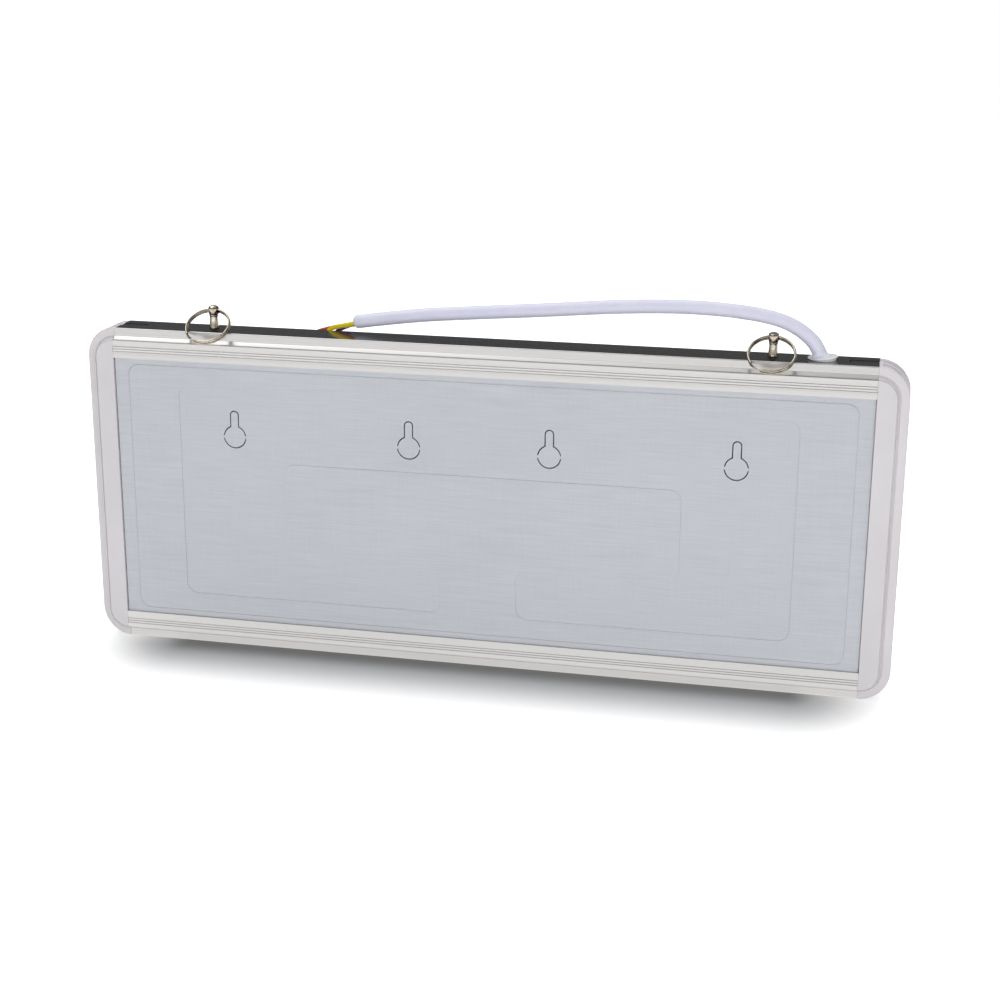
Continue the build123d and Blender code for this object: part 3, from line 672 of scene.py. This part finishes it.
@dataclass(frozen=True)
class SoftPlastic:
    """Soft plastic with a little light passing through, as on cables and grommets."""

    name: str
    colour: Colour
    shade: Colour
    roughness: float = 0.36
    depth_mm: float = 1.2
    translucence: float = 0.12
    ripple_depth: float = 0.02
    cloud: float = 120.0
    ripple: float = 420.0

    def make(self) -> Material:
        """Build the finish.

        Returns:
            The material.
        """
        board = NodeBoard(self.name)
        board.set(
            Metallic=0.0,
            Subsurface_Weight=self.translucence,
            Subsurface_Scale=self.depth_mm * MM,
            Subsurface_Radius=(1.0, 0.8, 0.9),
        )
        cloud = board.cloud(self.cloud)
        board.tint(board.spread(cloud, 0.0, 1.0), self.shade, self.colour)
        board.rough(board.spread(cloud, self.roughness - 0.05, self.roughness + 0.06))
        board.bump(board.cloud(self.ripple), self.ripple_depth)
        return board.material


@dataclass(frozen=True)
class LitAcrylic:
    """Printed acrylic that glows faintly from the lamps behind it."""

    name: str
    colour: Colour
    glow: float = 0.12
    deepening: float = 0.86
    cloud: float = 60.0

    def make(self) -> Material:
        """Build the finish.

        Returns:
            The material.
        """
        board = NodeBoard(self.name)
        cloud = board.cloud(self.cloud)
        deeper = tuple(self.deepening * channel for channel in self.colour)
        board.tint(board.spread(cloud, 0.0, 1.0), deeper, self.colour)
        board.set(Metallic=0.0, Coat_Weight=0.4, Coat_Roughness=0.08)
        board.set(Emission_Color=self.colour, Emission_Strength=self.glow)
        board.rough(board.spread(cloud, 0.16, 0.24))
        return board.material


class Finishes:
    """Every finish of the sign, made once and handed to the pieces."""

    def __init__(self) -> None:
        """Make the finishes."""
        self.rail = DrawnMetal().make()
        # Painted shade and painted dark reflection: a near-black coated finish laid on the up-facing web
        # and the cap tongues.
        self.web = DrawnMetal(
            "painted shade on rail web",
            light=linear(38, 37, 42),
            dark=linear(29, 28, 33),
            metallic=0.0,
            roughness=0.18,
            coat=1.0,
        ).make()
        self.sheet = BrushedSheet().make()
        self.nickel = PlatedMetal().make()
        self.cap = MouldedPlastic("cap plastic", linear(229, 225, 228), linear(223, 219, 222)).make()
        self.sheath = SoftPlastic(
            "cable sheath",
            linear(233, 233, 249),
            linear(227, 227, 245),
            roughness=0.42,
            depth_mm=3.0,
            translucence=0.3,
            ripple_depth=0.006,
        ).make()
        self.grommet = SoftPlastic(
            "clear grommet",
            linear(238, 238, 242),
            linear(226, 226, 231),
            roughness=0.3,
            depth_mm=2.0,
            translucence=0.35,
            ripple_depth=0.006,
        ).make()
        self.yellow = SoftPlastic("yellow core", linear(236, 212, 24), linear(226, 198, 14), 0.3).make()
        self.brown = SoftPlastic("brown core", linear(188, 92, 52), linear(166, 76, 42), 0.3).make()
        self.blue = SoftPlastic("blue core", linear(34, 66, 128), linear(26, 54, 112), 0.3).make()
        self.green = LitAcrylic("green acrylic", linear(20, 140, 78)).make()
        self.white_film = LitAcrylic("white film", linear(236, 240, 236)).make()
        self.inner = self.inner_finishes()

    def inner_finishes(self) -> dict[str, Material]:
        """Make the finishes of the pieces inside the sign.

        Returns:
            The finishes by their record slot.
        """
        moulded = {
            "diffuser": ("diffuser film", (238, 238, 236), (230, 230, 228)),
            "light_guide": ("light guide", (228, 234, 236), (220, 228, 230), 0.1),
            "reflector": ("reflector film", (242, 242, 240), (236, 236, 234)),
            "lamp_board": ("lamp board", (230, 231, 228), (222, 224, 220)),
            "lamp": ("lamp phosphor", (236, 220, 150), (228, 208, 130)),
            "board": ("solder mask", (30, 110, 62), (24, 96, 54), 0.3),
            "nylon": ("nylon", (232, 230, 222), (224, 221, 212)),
            "transformer": ("ferrite", (70, 68, 64), (58, 56, 52)),
            "board_parts": ("component body", (44, 44, 50), (34, 34, 40)),
            "terminal": ("terminal plastic", (52, 120, 76), (44, 104, 66)),
        }
        finishes = {
            slot: MouldedPlastic(name, linear(*colour), linear(*shade), *roughness)
            for slot, (name, colour, shade, *roughness) in moulded.items()
        }
        finishes["zinc"] = PlatedMetal("zinc plate", linear(190, 192, 196), linear(160, 162, 166), 0.3)
        finishes["battery"] = SoftPlastic("shrink sleeve", linear(60, 110, 140), linear(50, 96, 124))
        finishes["lead"] = SoftPlastic("red lead", linear(190, 40, 34), linear(170, 32, 28))
        return {slot: finish.make() for slot, finish in finishes.items()}


@dataclass
class Housing:
    """The two rails, the two end caps and the pressed back sheet."""

    finishes: Finishes
    rail_round: float = 0.1
    cap_round: float = 0.12
    cap_round_angle: float = 60.0
    sheet_round: float = 0.12
    tongue_reach: float = 165.9

    def build(self) -> None:
        """Build the housing's pieces."""
        for node in ("top_rail", "bottom_rail"):
            rail = refined_copy(node, f"drawn_{node}", self.rail_round)
            dress(rail, self.finishes.rail, Body.SIGN)
            # Up-facing faces of the top web get painted shade.
            paint_web_shade(rail, self.finishes.web)
        for side in Side:
            node, name = f"end_cap_{side.value}", f"moulded_cap_{side.value}"
            cap = refined_copy(node, name, self.cap_round, self.cap_round_angle)
            dress(cap, self.finishes.cap, Body.SIGN)
            # The cap's tongue in the web's slot gets the same painted shade.
            paint_web_shade(cap, self.finishes.web, self.tongue_reach)
        sheet = refined_copy("back_panel", "pressed_back_sheet", self.sheet_round)
        dress(sheet, self.finishes.sheet, Body.SIGN)


@dataclass
class Legend:
    """The lit panel with its picture of a figure that runs to a door."""

    finishes: Finishes
    film: float = 0.12
    film_step: float = 0.01
    bar_sides: int = 48
    middle_z: float = 72.5
    arrow_x: float = 96.0
    arrow_half: float = 34.0
    arrow_wing: float = 24.0
    arrow_width: float = 11.0
    door_x: float = -96.0
    door_half: float = 24.0
    door_foot: float = 28.0
    door_top: float = 117.0
    door_width: float = 6.0
    head: Flat = (-28.0, 107.0)
    head_width: float = 13.0
    head_stretch: float = 0.1
    chest: Flat = (-22.0, 90.0)
    hip: Flat = (-12.0, 66.0)
    trunk_width: float = 12.0
    arms: tuple[tuple[Flat, Flat], ...] = (((-42.0, 82.0), (-50.0, 92.0)), ((-2.0, 86.0), (6.0, 74.0)))
    arm_width: float = 6.5
    legs: tuple[tuple[Flat, Flat], ...] = (((-34.0, 56.0), (-34.0, 32.0)), ((6.0, 48.0), (28.0, 44.0)))
    leg_width: float = 8.0

    @property
    def face_y(self) -> float:
        """Where the panel's face lies along Y."""
        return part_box("legend_panel")[1].y / MM

    def build(self) -> None:
        """Build the panel and the white shapes on it, each a little prouder than the one before."""
        panel = refined_copy("legend_panel", "printed_legend", 0.0)
        dress(panel, self.finishes.green, Body.SIGN)
        parts = [*self.arrow(), *self.door(), *self.figure()]
        middle = (self.face_y + self.film / 2) * MM
        for count, part in enumerate(parts):
            for vertex in part.data.vertices:
                if vertex.co.y > middle:
                    vertex.co.y += count * self.film_step * MM
        deselect()
        for part in parts:
            part.select_set(True)
        bpy.context.view_layer.objects.active = parts[0]
        bpy.ops.object.join()
        picture = bpy.context.object
        picture.name = "legend_picture"
        settle(picture)
        dress(picture, self.finishes.white_film, Body.SIGN)

    def bar(self, start: Flat, end: Flat, width: float) -> Piece:
        """Lay a flat bar with round ends between two points of the legend's face.

        Args:
            start: X and Z of one end's centre.
            end: X and Z of the other end's centre.
            width: The bar's width.

        Returns:
            The bar, standing on the face.
        """
        run = Vector((end[0] - start[0], end[1] - start[1]))
        bpy.ops.mesh.primitive_circle_add(vertices=self.bar_sides, radius=width / 2 * MM, fill_type="NGON")
        shape = bpy.context.object
        for vertex in shape.data.vertices:
            if vertex.co.x > 0:
                vertex.co.x += run.length * MM
        open_mesh(shape)
        bpy.ops.mesh.extrude_region_move(TRANSFORM_OT_translate={"value": (0, 0, self.film * MM)})
        close_mesh()
        lie = Matrix(((1, 0, 0), (0, 0, 1), (0, 1, 0))).to_4x4()
        turn = Matrix.Rotation(math.atan2(run.y, run.x), 4, "Z")
        spot = Matrix.Translation((start[0] * MM, self.face_y * MM, start[1] * MM))
        shape.data.transform(spot @ lie @ turn)
        open_mesh(shape)
        bpy.ops.mesh.normals_make_consistent(inside=False)
        close_mesh()
        return shape

    def chain(self, joints: Sequence[Flat], width: float) -> list[Piece]:
        """Lay a row of bars from joint to joint."""
        return [self.bar(start, end, width) for start, end in zip(joints, joints[1:])]

    def arrow(self) -> list[Piece]:
        """Make the arrow that points along the sign.

        Returns:
            The shaft and the two wings.
        """
        tail = (self.arrow_x + self.arrow_half, self.middle_z)
        tip = (self.arrow_x - self.arrow_half, self.middle_z)
        wings = [(tip[0] + self.arrow_wing, tip[1] + way * self.arrow_wing) for way in (1, -1)]
        shaft = self.bar(tail, tip, self.arrow_width)
        return [shaft, *(self.bar(tip, wing, self.arrow_width) for wing in wings)]

    def door(self) -> list[Piece]:
        """Make the door's outline.

        Returns:
            The two posts and the lintel between them.
        """
        left, right = self.door_x - self.door_half, self.door_x + self.door_half
        foot, top = self.door_foot, self.door_top
        return self.chain(((left, foot), (left, top), (right, top), (right, foot)), self.door_width)

    def figure(self) -> list[Piece]:
        """Make the running figure from round bars.

        Returns:
            The head, the trunk, the arms and the legs.
        """
        crown = (self.head[0] + self.head_stretch, self.head[1])
        bars = self.chain((self.head, crown), self.head_width)
        bars += self.chain((self.hip, self.chest), self.trunk_width)
        for arm in self.arms:
            bars += self.chain((self.chest, *arm), self.arm_width)
        for leg in self.legs:
            bars += self.chain((self.hip, *leg), self.leg_width)
        return bars


@dataclass
class Hanger:
    """One post with its split ring, threaded through the post's cross hole."""

    finishes: Finishes
    side: Side
    wire: float = 1.0
    outer_diameter: float = 20.2
    turn_gap: float = 0.25
    edge_gap: float = 0.05
    jog_start: float = 215.0
    jog_angle: float = 30.0
    steps: int = 240
    stud_radius: float = 2.0
    stud_chamfer: float = 0.3
    foot_radius: float = 2.2
    foot: tuple[Flat, ...] = ((0.0, 0.5), (0.12, 1.6))
    waist_radius: float = 1.85
    waist: tuple[Flat, ...] = ((0.08, 3.4), (0.0, 5.0), (0.0, 5.7), (0.2, 5.85), (0.2, 6.15), (0.0, 6.3))
    head_radius: float = 2.4
    head_inset: float = 0.02
    head_chamfer: float = 0.1
    head_foot: float = 6.9
    dome: float = 1.5
    hole_z: float = 8.2
    hole_radius: float = 1.45
    hole_sides: int = 48
    edge_round: float = 0.1

    def build(self) -> None:
        """Build the post and the ring."""
        word = self.side.value
        post = self.post()
        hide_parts(f"hanging_post_{word}")
        dress(post, self.finishes.nickel, Body.SIGN)
        ring = self.ring()
        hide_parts(f"split_ring_{word}")
        dress(ring, self.finishes.nickel, Body[f"RING_{self.side.name}"])

    def post(self) -> Piece:
        """Turn the post in one piece with its stud, then drill the hole for the ring.

        Returns:
            The post, standing on the rail.
        """
        low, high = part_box(f"hanging_post_{self.side.value}")
        rail_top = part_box("top_rail")[1].z / MM
        stud_end = low.z / MM - rail_top
        top = high.z / MM - rail_top
        head = self.head_radius - self.head_inset
        profile = [
            (0.0, stud_end),
            (self.stud_radius - self.stud_chamfer, stud_end),
            (self.stud_radius, stud_end + self.stud_chamfer),
            (self.stud_radius, 0.0),
            (self.foot_radius, 0.0),
            *((self.foot_radius - inset, height) for inset, height in self.foot),
            *((self.waist_radius + swell, height) for swell, height in self.waist),
            (head - self.head_chamfer, self.head_foot),
            *arc((0.0, top - self.dome), (head, self.dome), 0.0, 90.0),
        ]
        post = turned(f"turned_post_{self.side.value}", profile)
        bpy.ops.mesh.primitive_cylinder_add(
            vertices=self.hole_sides,
            radius=self.hole_radius * MM,
            depth=4 * self.head_radius * MM,
            location=(0, 0, self.hole_z * MM),
            rotation=(0, math.pi / 2, 0),
        )
        drill = bpy.context.object
        settle(drill)
        take(post)
        cut = post.modifiers.new("cross hole", "BOOLEAN")
        cut.operation = "DIFFERENCE"
        cut.solver = "EXACT"
        cut.object = drill
        bpy.ops.object.modifier_apply(modifier=cut.name)
        bpy.data.objects.remove(drill)
        post.data.transform(Matrix.Translation(((low.x + high.x) / 2, 0, rail_top * MM)))
        bevel(post, self.edge_round, angle=40.0)
        smooth(post, angle=35.0)
        return post

    def ring(self) -> Piece:
        """Wind the wire twice round, with a short jog from one turn to the next.

        Returns:
            The ring, leaning on the rail's edge.
        """
        rail_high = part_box("top_rail")[1]
        post_low, post_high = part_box(f"hanging_post_{self.side.value}")
        radius = (self.outer_diameter - self.wire) / 2
        reach = math.hypot(HALF_FACE, self.hole_z)
        half_width = self.wire + self.turn_gap / 2 + self.edge_gap
        lean = math.atan2(HALF_FACE, self.hole_z) + math.asin(half_width / reach)
        hang = math.sqrt(radius**2 - (self.head_radius / 2) ** 2)
        post_x = (post_low.x + post_high.x) / 2 / MM
        hole_z = rail_high.z / MM + self.hole_z
        centre = Vector((post_x, -hang * math.sin(lean), hole_z - hang * math.cos(lean)))
        across = Vector((1, 0, 0))
        normal = Vector((0, -math.cos(lean), math.sin(lean)))
        down = normal.cross(across)
        layer = (self.wire + self.turn_gap) / 2
        total = 2 * FULL_TURN - self.jog_angle
        points = []
        for step in range(self.steps + 1):
            angle = self.jog_start + self.jog_angle + total * step / self.steps
            jog = (angle - self.jog_start - FULL_TURN) / self.jog_angle
            share = min(max(jog, 0.0), 1.0)
            rise = layer * (2 * share * share * (3 - 2 * share) - 1)
            turn = math.radians(angle)
            flat = across * radius * math.cos(turn) + down * radius * math.sin(turn)
            points.append(centre + flat + normal * rise)
        take(round_curve(f"wound_ring_{self.side.value}", points, self.wire, "POLY", 3))
        bpy.ops.object.convert(target="MESH")
        ring = bpy.context.object
        open_mesh(ring)
        seal_mesh()
        smooth(ring, angle=50.0)
        return ring


@dataclass
class Core:
    """One insulated core that comes out of the sheath's end."""

    colour: str
    finish: Material
    clock: float
    first_run: float
    length: float
    offsets: tuple[Point, ...]
    diameter: float = 2.0
    ring: float = 1.35

    def build(self, end: Vector, heading: Vector) -> None:
        """Build the core.

        Args:
            end: The sheath's end.
            heading: The direction in which the sheath ends.
        """
        turn = math.radians(self.clock)
        start = end + Vector((0, math.cos(turn), math.sin(turn))) * self.ring
        start -= heading * (start - end).dot(heading)
        points = [start, start + heading * self.first_run]
        points += [start + Vector(offset) for offset in self.offsets]
        cord = cord_curve(f"{self.colour}_core", points, self.diameter)
        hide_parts(f"core_{self.colour}")
        dress(cord, self.finish, Body.SIGN)


@dataclass
class MainsLead:
    """The cable that leaves the grommet, with its three bared cores."""

    finishes: Finishes
    diameter: float = 6.0
    length: float = 204.0
    lean: float = 38.0
    exit_rise: float = 0.9
    end_round: float = 1.3
    end_reach: float = 2.3
    end_overlap: float = 0.4
    grommet_x: float = 143.0
    bore: float = 1.0
    seat_gap: float = 0.1
    neck_radius: float = 4.7
    inner_radius: float = 5.8
    inner_flange: float = 1.5
    inner_chamfer: float = 0.3
    flange_radius: float = 6.2
    flange: float = 0.9
    flange_tilt: float = 5.0
    rim: float = 1.4
    rim_inset: float = 0.8
    tilt_line: float = 0.15
    hub_radius: float = 3.9
    hub_steps: tuple[Flat, ...] = ((0.0, 0.2), (0.45, 0.65), (0.75, 1.5), (0.88, 2.6))
    hub_line: float = 0.15
    hub_edge: float = 0.25
    hub_shift: float = 0.7
    hub_lean: float = 24.0
    runs: tuple[Point, ...] = (
        (5.2, 66.0, 0.0), (5.0, 46.0, 0.02), (6.2, 35.0, 0.05),
        (7.0, 23.0, 0.12), (9.0, 11.5, 0.3), (14.0, 5.5, 0.5),
        (20.0, 1.0, 0.9), (28.0, -3.4, 1.1), (30.0, -6.0, 1.2),
        (31.0, -5.0, 1.2), (29.0, -5.6, 1.1), (23.0, -9.4, 0.8),
    )

    def build(self) -> None:
        """Build the grommet, the cable and its cores."""
        self.grommet()
        route = self.route()
        heading = (route[-1] - route[-2]).normalized()
        cable = cord_curve("sheathed_cable", route, self.diameter)
        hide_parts("mains_cable")
        dress(cable, self.finishes.sheath, Body.SIGN)
        self.sheath_end(route[-1], heading)
        for core in self.cores():
            core.build(route[-1], heading)

    def grommet(self) -> None:
        """Turn the soft grommet, whose flange is lifted on the side that the cable leans away from."""
        inner, below = self.inner_radius, -WEB_WALL - self.seat_gap
        rim_middle = (self.flange_radius - self.rim, self.seat_gap + self.flange / 2)
        profile = [
            (self.bore, below - self.inner_flange),
            (inner - self.inner_chamfer, below - self.inner_flange),
            (inner, below),
            (self.neck_radius, below),
            (self.neck_radius, self.seat_gap),
            (self.flange_radius - self.rim_inset, self.seat_gap),
            *arc(rim_middle, (self.rim, self.flange / 2), -60.0, 85.0, 12),
            *((self.hub_radius - inset, self.flange + height) for inset, height in self.hub_steps),
            (self.bore, self.flange + self.hub_steps[-1][1]),
        ]
        grommet = turned("soft_grommet", profile, closed=True)
        hub_edge = (self.flange + self.hub_edge) * MM
        hub_faces = [face.index for face in grommet.data.polygons if face.center.z > hub_edge]
        angle = math.radians(self.flange_tilt)
        tilt = Matrix.Rotation(-angle, 4, "Y")
        lift = Vector((0, 0, self.flange_radius * math.sin(angle) * MM))
        for vertex in grommet.data.vertices:
            hub = vertex.co.z - (self.flange + self.hub_line) * MM
            if hub > 0:
                vertex.co.x -= self.hub_shift * MM + hub * math.tan(math.radians(self.hub_lean))
            if vertex.co.z > self.tilt_line * MM:
                vertex.co = tilt @ vertex.co + lift
        rail_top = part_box("top_rail")[1].z
        grommet.data.transform(Matrix.Translation((self.grommet_x * MM, 0, rail_top)))
        smooth(grommet, angle=45.0)
        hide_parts("cable_grommet")
        dress(grommet, self.finishes.grommet, Body.SIGN)
        grommet.data.materials.append(self.finishes.sheath)
        for index in hub_faces:
            grommet.data.polygons[index].material_index = 1

    def sheath_end(self, end: Vector, heading: Vector) -> Piece:
        """Round off the sheath where the cores come out.

        Args:
            end: The sheath's end.
            heading: The direction in which the sheath ends.

        Returns:
            The rounded end.
        """
        radius = self.diameter / 2
        profile = [
            (0.0, -self.end_overlap),
            (radius, -self.end_overlap),
            (radius, 0.0),
            *arc((radius - self.end_round, 0.0), (self.end_round, self.end_reach), 0.0, 88.0, 10),
            (0.0, self.end_reach),
        ]
        lip = turned("sheath_end", profile)
        stand = heading.to_track_quat("Z", "Y").to_matrix().to_4x4()
        lip.data.transform(Matrix.Translation(end * MM) @ stand)
        smooth(lip, angle=40.0)
        dress(lip, self.finishes.sheath, Body.SIGN)
        return lip

    def route(self) -> list[Vector]:
        """Walk the cable's runs, each with its length, its slope in degrees and its drift along Y.

        Returns:
            The route's points.
        """
        lean = math.radians(self.lean)
        axis = Vector((-math.sin(lean), 0, math.cos(lean)))
        rail_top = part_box("top_rail")[1].z / MM
        places = [Vector((self.grommet_x, 0, rail_top)) + axis * (self.exit_rise / math.cos(lean))]
        for length, slope, drift in self.runs:
            angle = math.radians(slope)
            places.append(places[-1] + Vector((-length * math.cos(angle), drift, length * math.sin(angle))))
        return places

    def cores(self) -> list[Core]:
        """List the three cores with their places in the sheath and their routes.

        Returns:
            The cores.
        """
        brown = Core(
            "brown",
            self.finishes.brown,
            clock=292.0,
            first_run=1.6,
            length=32.4,
            offsets=(
                (-4.5, 1.5, -0.9), (-10.5, 3.8, -2.1), (-17.0, 5.6, -4.1),
                (-22.5, 6.7, -5.9), (-26.0, 7.4, -9.0), (-27.5, 7.8, -13.0),
            ),
        )
        yellow = Core(
            "yellow",
            self.finishes.yellow,
            clock=200.0,
            first_run=2.2,
            length=31.4,
            offsets=(
                (-5.0, 0.5, -1.1), (-11.0, 2.3, -2.7), (-14.6, 4.3, -4.1),
                (-16.6, 5.4, -7.2), (-17.8, 6.1, -12.5), (-18.4, 6.5, -19.0),
            ),
        )
        blue = Core(
            "blue",
            self.finishes.blue,
            clock=20.0,
            first_run=0.8,
            length=33.2,
            offsets=(
                (-2.6, 1.8, -1.5), (-5.6, 4.0, -3.4), (-11.0, 5.6, -5.6),
                (-14.2, 6.2, -8.6), (-15.4, 6.6, -14.0), (-15.8, 6.8, -22.5),
            ),
        )
        return [brown, yellow, blue]


@dataclass
class InnerParts:
    """What is sealed inside the sign, kept as the frame's own nodes."""

    finishes: Finishes

    def build(self) -> None:
        """Dress each inner node in its slot's finish, and the cable's inner end as its outer one."""
        shared = {"sheath": self.finishes.sheath, "blue": self.finishes.blue}
        by_slot = {**shared, **self.finishes.inner}
        for part in frame["record"]["subparts"]:
            node = frame["nodes"][part["node"]]
            finish = by_slot.get(part["material_slot"])
            if part["node"] == "inner_cable":
                finish = self.finishes.sheath
            if node.hide_render or finish is None:
                continue
            node.data.materials.clear()
            node.data.materials.append(finish)
            LOG.info("%s in %s", part["node"], finish.name)


@dataclass(frozen=True)
class Lamp:
    """One soft rectangular lamp that points at the sign, in metres and watts."""

    name: str
    place: Point
    width: float
    height: float
    power: float
    aim: Point = (0.0, 0.0, 0.08)

    def hang(self) -> None:
        """Hang the lamp, out of sight of the mirroring metal."""
        data = bpy.data.lights.new(self.name, "AREA")
        data.shape = "RECTANGLE"
        data.size = self.width
        data.size_y = self.height
        data.energy = self.power
        lamp = bring_in(self.name, data)
        lamp.location = self.place
        lamp.visible_glossy = False
        direction = Vector(self.aim) - Vector(self.place)
        lamp.rotation_euler = direction.to_track_quat("-Z", "Y").to_euler()


@dataclass
class Studio:
    """The floor, the lamps, the surrounding light and the camera."""

    lamps: tuple[Lamp, ...] = (
        Lamp("low front", (-0.3, -1.9, 0.3), 1.8, 0.45, 16.0),
        Lamp("over and behind", (-0.15, 0.62, 1.15), 1.9, 0.5, 13.0),
        Lamp("over right", (1.1, -0.9, 0.7), 0.9, 0.9, 6.0),
    )
    heading: float = 0.2167
    pitch: float = -0.2917
    roll: float = -0.0060
    camera_place: Point = (168.609, -732.847, 300.324)
    focal_pixels: float = 1786.81
    frame_pixels: float = 1000.0
    sensor: float = 36.0
    near_limit: float = 0.01
    floor_size: float = 6.0
    white: Colour = (1.0, 1.0, 1.0)
    # Reach over which the camera-ray glow fades in; nearer the foot the floor is darker from the real
    # shadow and from this painted shade.
    white_reach: float = 0.062
    # Painted shadow: the floor's colour darkens to this tone within this reach of the sign's foot.
    painted_shadow_reach: float = 0.014
    painted_shadow_tone: float = 0.34
    floor_white: float = 0.6
    shade_inset: float = 0.03
    mirrored_floor: float = 0.89
    ambient: float = 0.24
    ambient_colour: Colour = (0.95, 0.97, 1.0)
    bands: tuple[Flat, ...] = ((0.0, 0.7), (0.03, 0.4), (0.08, 0.085), (0.6, 0.09), (1.0, 0.09))
    overhead: Flat = (0.55, 0.8)
    overhead_side: Flat = (0.05, -0.4)
    overhead_glow: Flat = (0.4, 2.5)

    def build(self) -> None:
        """Build the studio."""
        self.camera()
        self.floor()
        self.surroundings()
        for lamp in self.lamps:
            lamp.hang()

    def camera(self) -> None:
        """Stand the camera where the photograph was taken."""
        data = bpy.data.cameras.new("photograph view")
        data.sensor_width = self.sensor
        data.lens = self.sensor * self.focal_pixels / self.frame_pixels
        data.clip_start = self.near_limit
        camera = bring_in("photograph view", data)
        look = (
            Matrix.Rotation(self.heading, 4, "Z")
            @ Matrix.Rotation(self.pitch, 4, "X")
            @ Matrix.Rotation(self.roll, 4, "Y")
            @ Matrix.Rotation(math.pi / 2, 4, "X")
        )
        camera.matrix_world = Matrix.Translation(Vector(self.camera_place) * MM) @ look
        bpy.context.scene.camera = camera

    def floor(self) -> None:
        """Lay the pale floor, which shows white and keeps the sign's shadow; next to the sign's foot its
        colour is darkened as a painted shadow and its camera-ray glow fades out as painted shade.
        """
        bpy.ops.mesh.primitive_plane_add(size=self.floor_size, location=(0, 0, 0))
        floor = bpy.context.object
        floor.name = "studio_floor"
        board = NodeBoard("studio floor")
        board.set(Roughness=1.0, Specular_IOR_Level=0.0, Emission_Color=self.white)
        path = board.add("ShaderNodeLightPath").outputs
        distance = self.away(board)
        # Painted shadow: darker floor colour right next to the sign's foot.
        painted_shadow_share = board.span(distance, (0.0, self.painted_shadow_reach), shape="SMOOTHSTEP")
        board.tint(painted_shadow_share, (self.painted_shadow_tone,) * 3, (self.floor_white,) * 3)
        # The camera-ray glow fades out towards the sign's foot: the real shadow shows there, deepened by
        # this painted shade.
        fade = board.span(distance, (0.0, self.white_reach), shape="SMOOTHSTEP")
        straight = board.maths("MULTIPLY", path["Is Camera Ray"], fade)
        mirrored = board.maths("MAXIMUM", path["Is Glossy Ray"], path["Is Transmission Ray"])
        glow = board.maths("MAXIMUM", board.maths("MULTIPLY", mirrored, self.mirrored_floor), straight)
        board.link(glow, board.shader.inputs["Emission Strength"])
        floor.data.materials.append(board.material)

    def away(self, board: NodeBoard) -> Socket:
        """Measure how far a point of the floor is from the sign's foot.

        Args:
            board: The floor's node tree.

        Returns:
            The distance in metres.
        """
        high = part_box("bottom_rail")[1]
        axes = board.add("ShaderNodeSeparateXYZ")
        board.link(board.place(), axes.inputs["Vector"])
        gaps = board.add("ShaderNodeCombineXYZ")
        for axis, reach in (("X", high.x - self.shade_inset), ("Y", high.y)):
            past = board.maths("SUBTRACT", board.maths("ABSOLUTE", axes.outputs[axis], 0.0), reach)
            board.link(board.maths("MAXIMUM", past, 0.0), gaps.inputs[axis])
        distance = board.add("ShaderNodeVectorMath", operation="LENGTH")
        board.link(gaps.outputs["Vector"], distance.inputs[0])
        return distance.outputs["Value"]

    def surroundings(self) -> None:
        """Light the sign from all round, with a white background behind it."""
        world = bpy.data.worlds.new("studio")
        bpy.context.scene.world = world
        world.use_nodes = True
        world.node_tree.nodes.clear()
        board = NodeTree(world.node_tree)
        output = board.add("ShaderNodeOutputWorld")
        path = board.add("ShaderNodeLightPath").outputs
        direction = board.add("ShaderNodeTexCoord")
        axes = board.add("ShaderNodeSeparateXYZ")
        board.link(direction.outputs["Generated"], axes.inputs["Vector"])
        above = board.span(axes.outputs["Z"], self.overhead)
        aside = board.span(axes.outputs["X"], self.overhead_side, self.overhead_glow)
        glow = board.maths("MULTIPLY", above, aside)
        bands = board.add("ShaderNodeValToRGB")
        ramp = bands.color_ramp
        ramp.elements[0].position = self.bands[0][0]
        ramp.elements[1].position = self.bands[-1][0]
        for position, _ in self.bands[1:-1]:
            ramp.elements.new(position)
        for element, (_, level) in zip(ramp.elements, self.bands):
            element.color = (level, level, level, 1.0)
        board.link(axes.outputs["Z"], bands.inputs["Fac"])
        mirror = board.maths("ADD", bands.outputs["Color"], glow)
        ambient = board.background(self.ambient_colour, self.ambient)
        mirrored = board.background(mirror)
        lit = board.choose(path["Is Glossy Ray"], ambient, mirrored)
        straight = board.maths("MAXIMUM", path["Is Camera Ray"], path["Is Transmission Ray"])
        seen = board.choose(straight, lit, board.background(self.white))
        board.link(seen, output.inputs["Surface"])


def main() -> None:
    """Build the sign piece by piece."""
    logging.basicConfig(level=logging.INFO, format="%(name)s: %(message)s")
    deselect()
    bpy.context.scene.view_settings.view_transform = "Standard"
    finishes = Finishes()
    makers = (
        Studio(),
        MainsLead(finishes),
        Housing(finishes),
        Legend(finishes),
        Hanger(finishes, Side.LEFT),
        Hanger(finishes, Side.RIGHT),
        InnerParts(finishes),
    )
    for maker in makers:
        maker.build()
        LOG.info("built %s", type(maker).__name__)
    deselect()


if __name__ == "__main__":
    main()
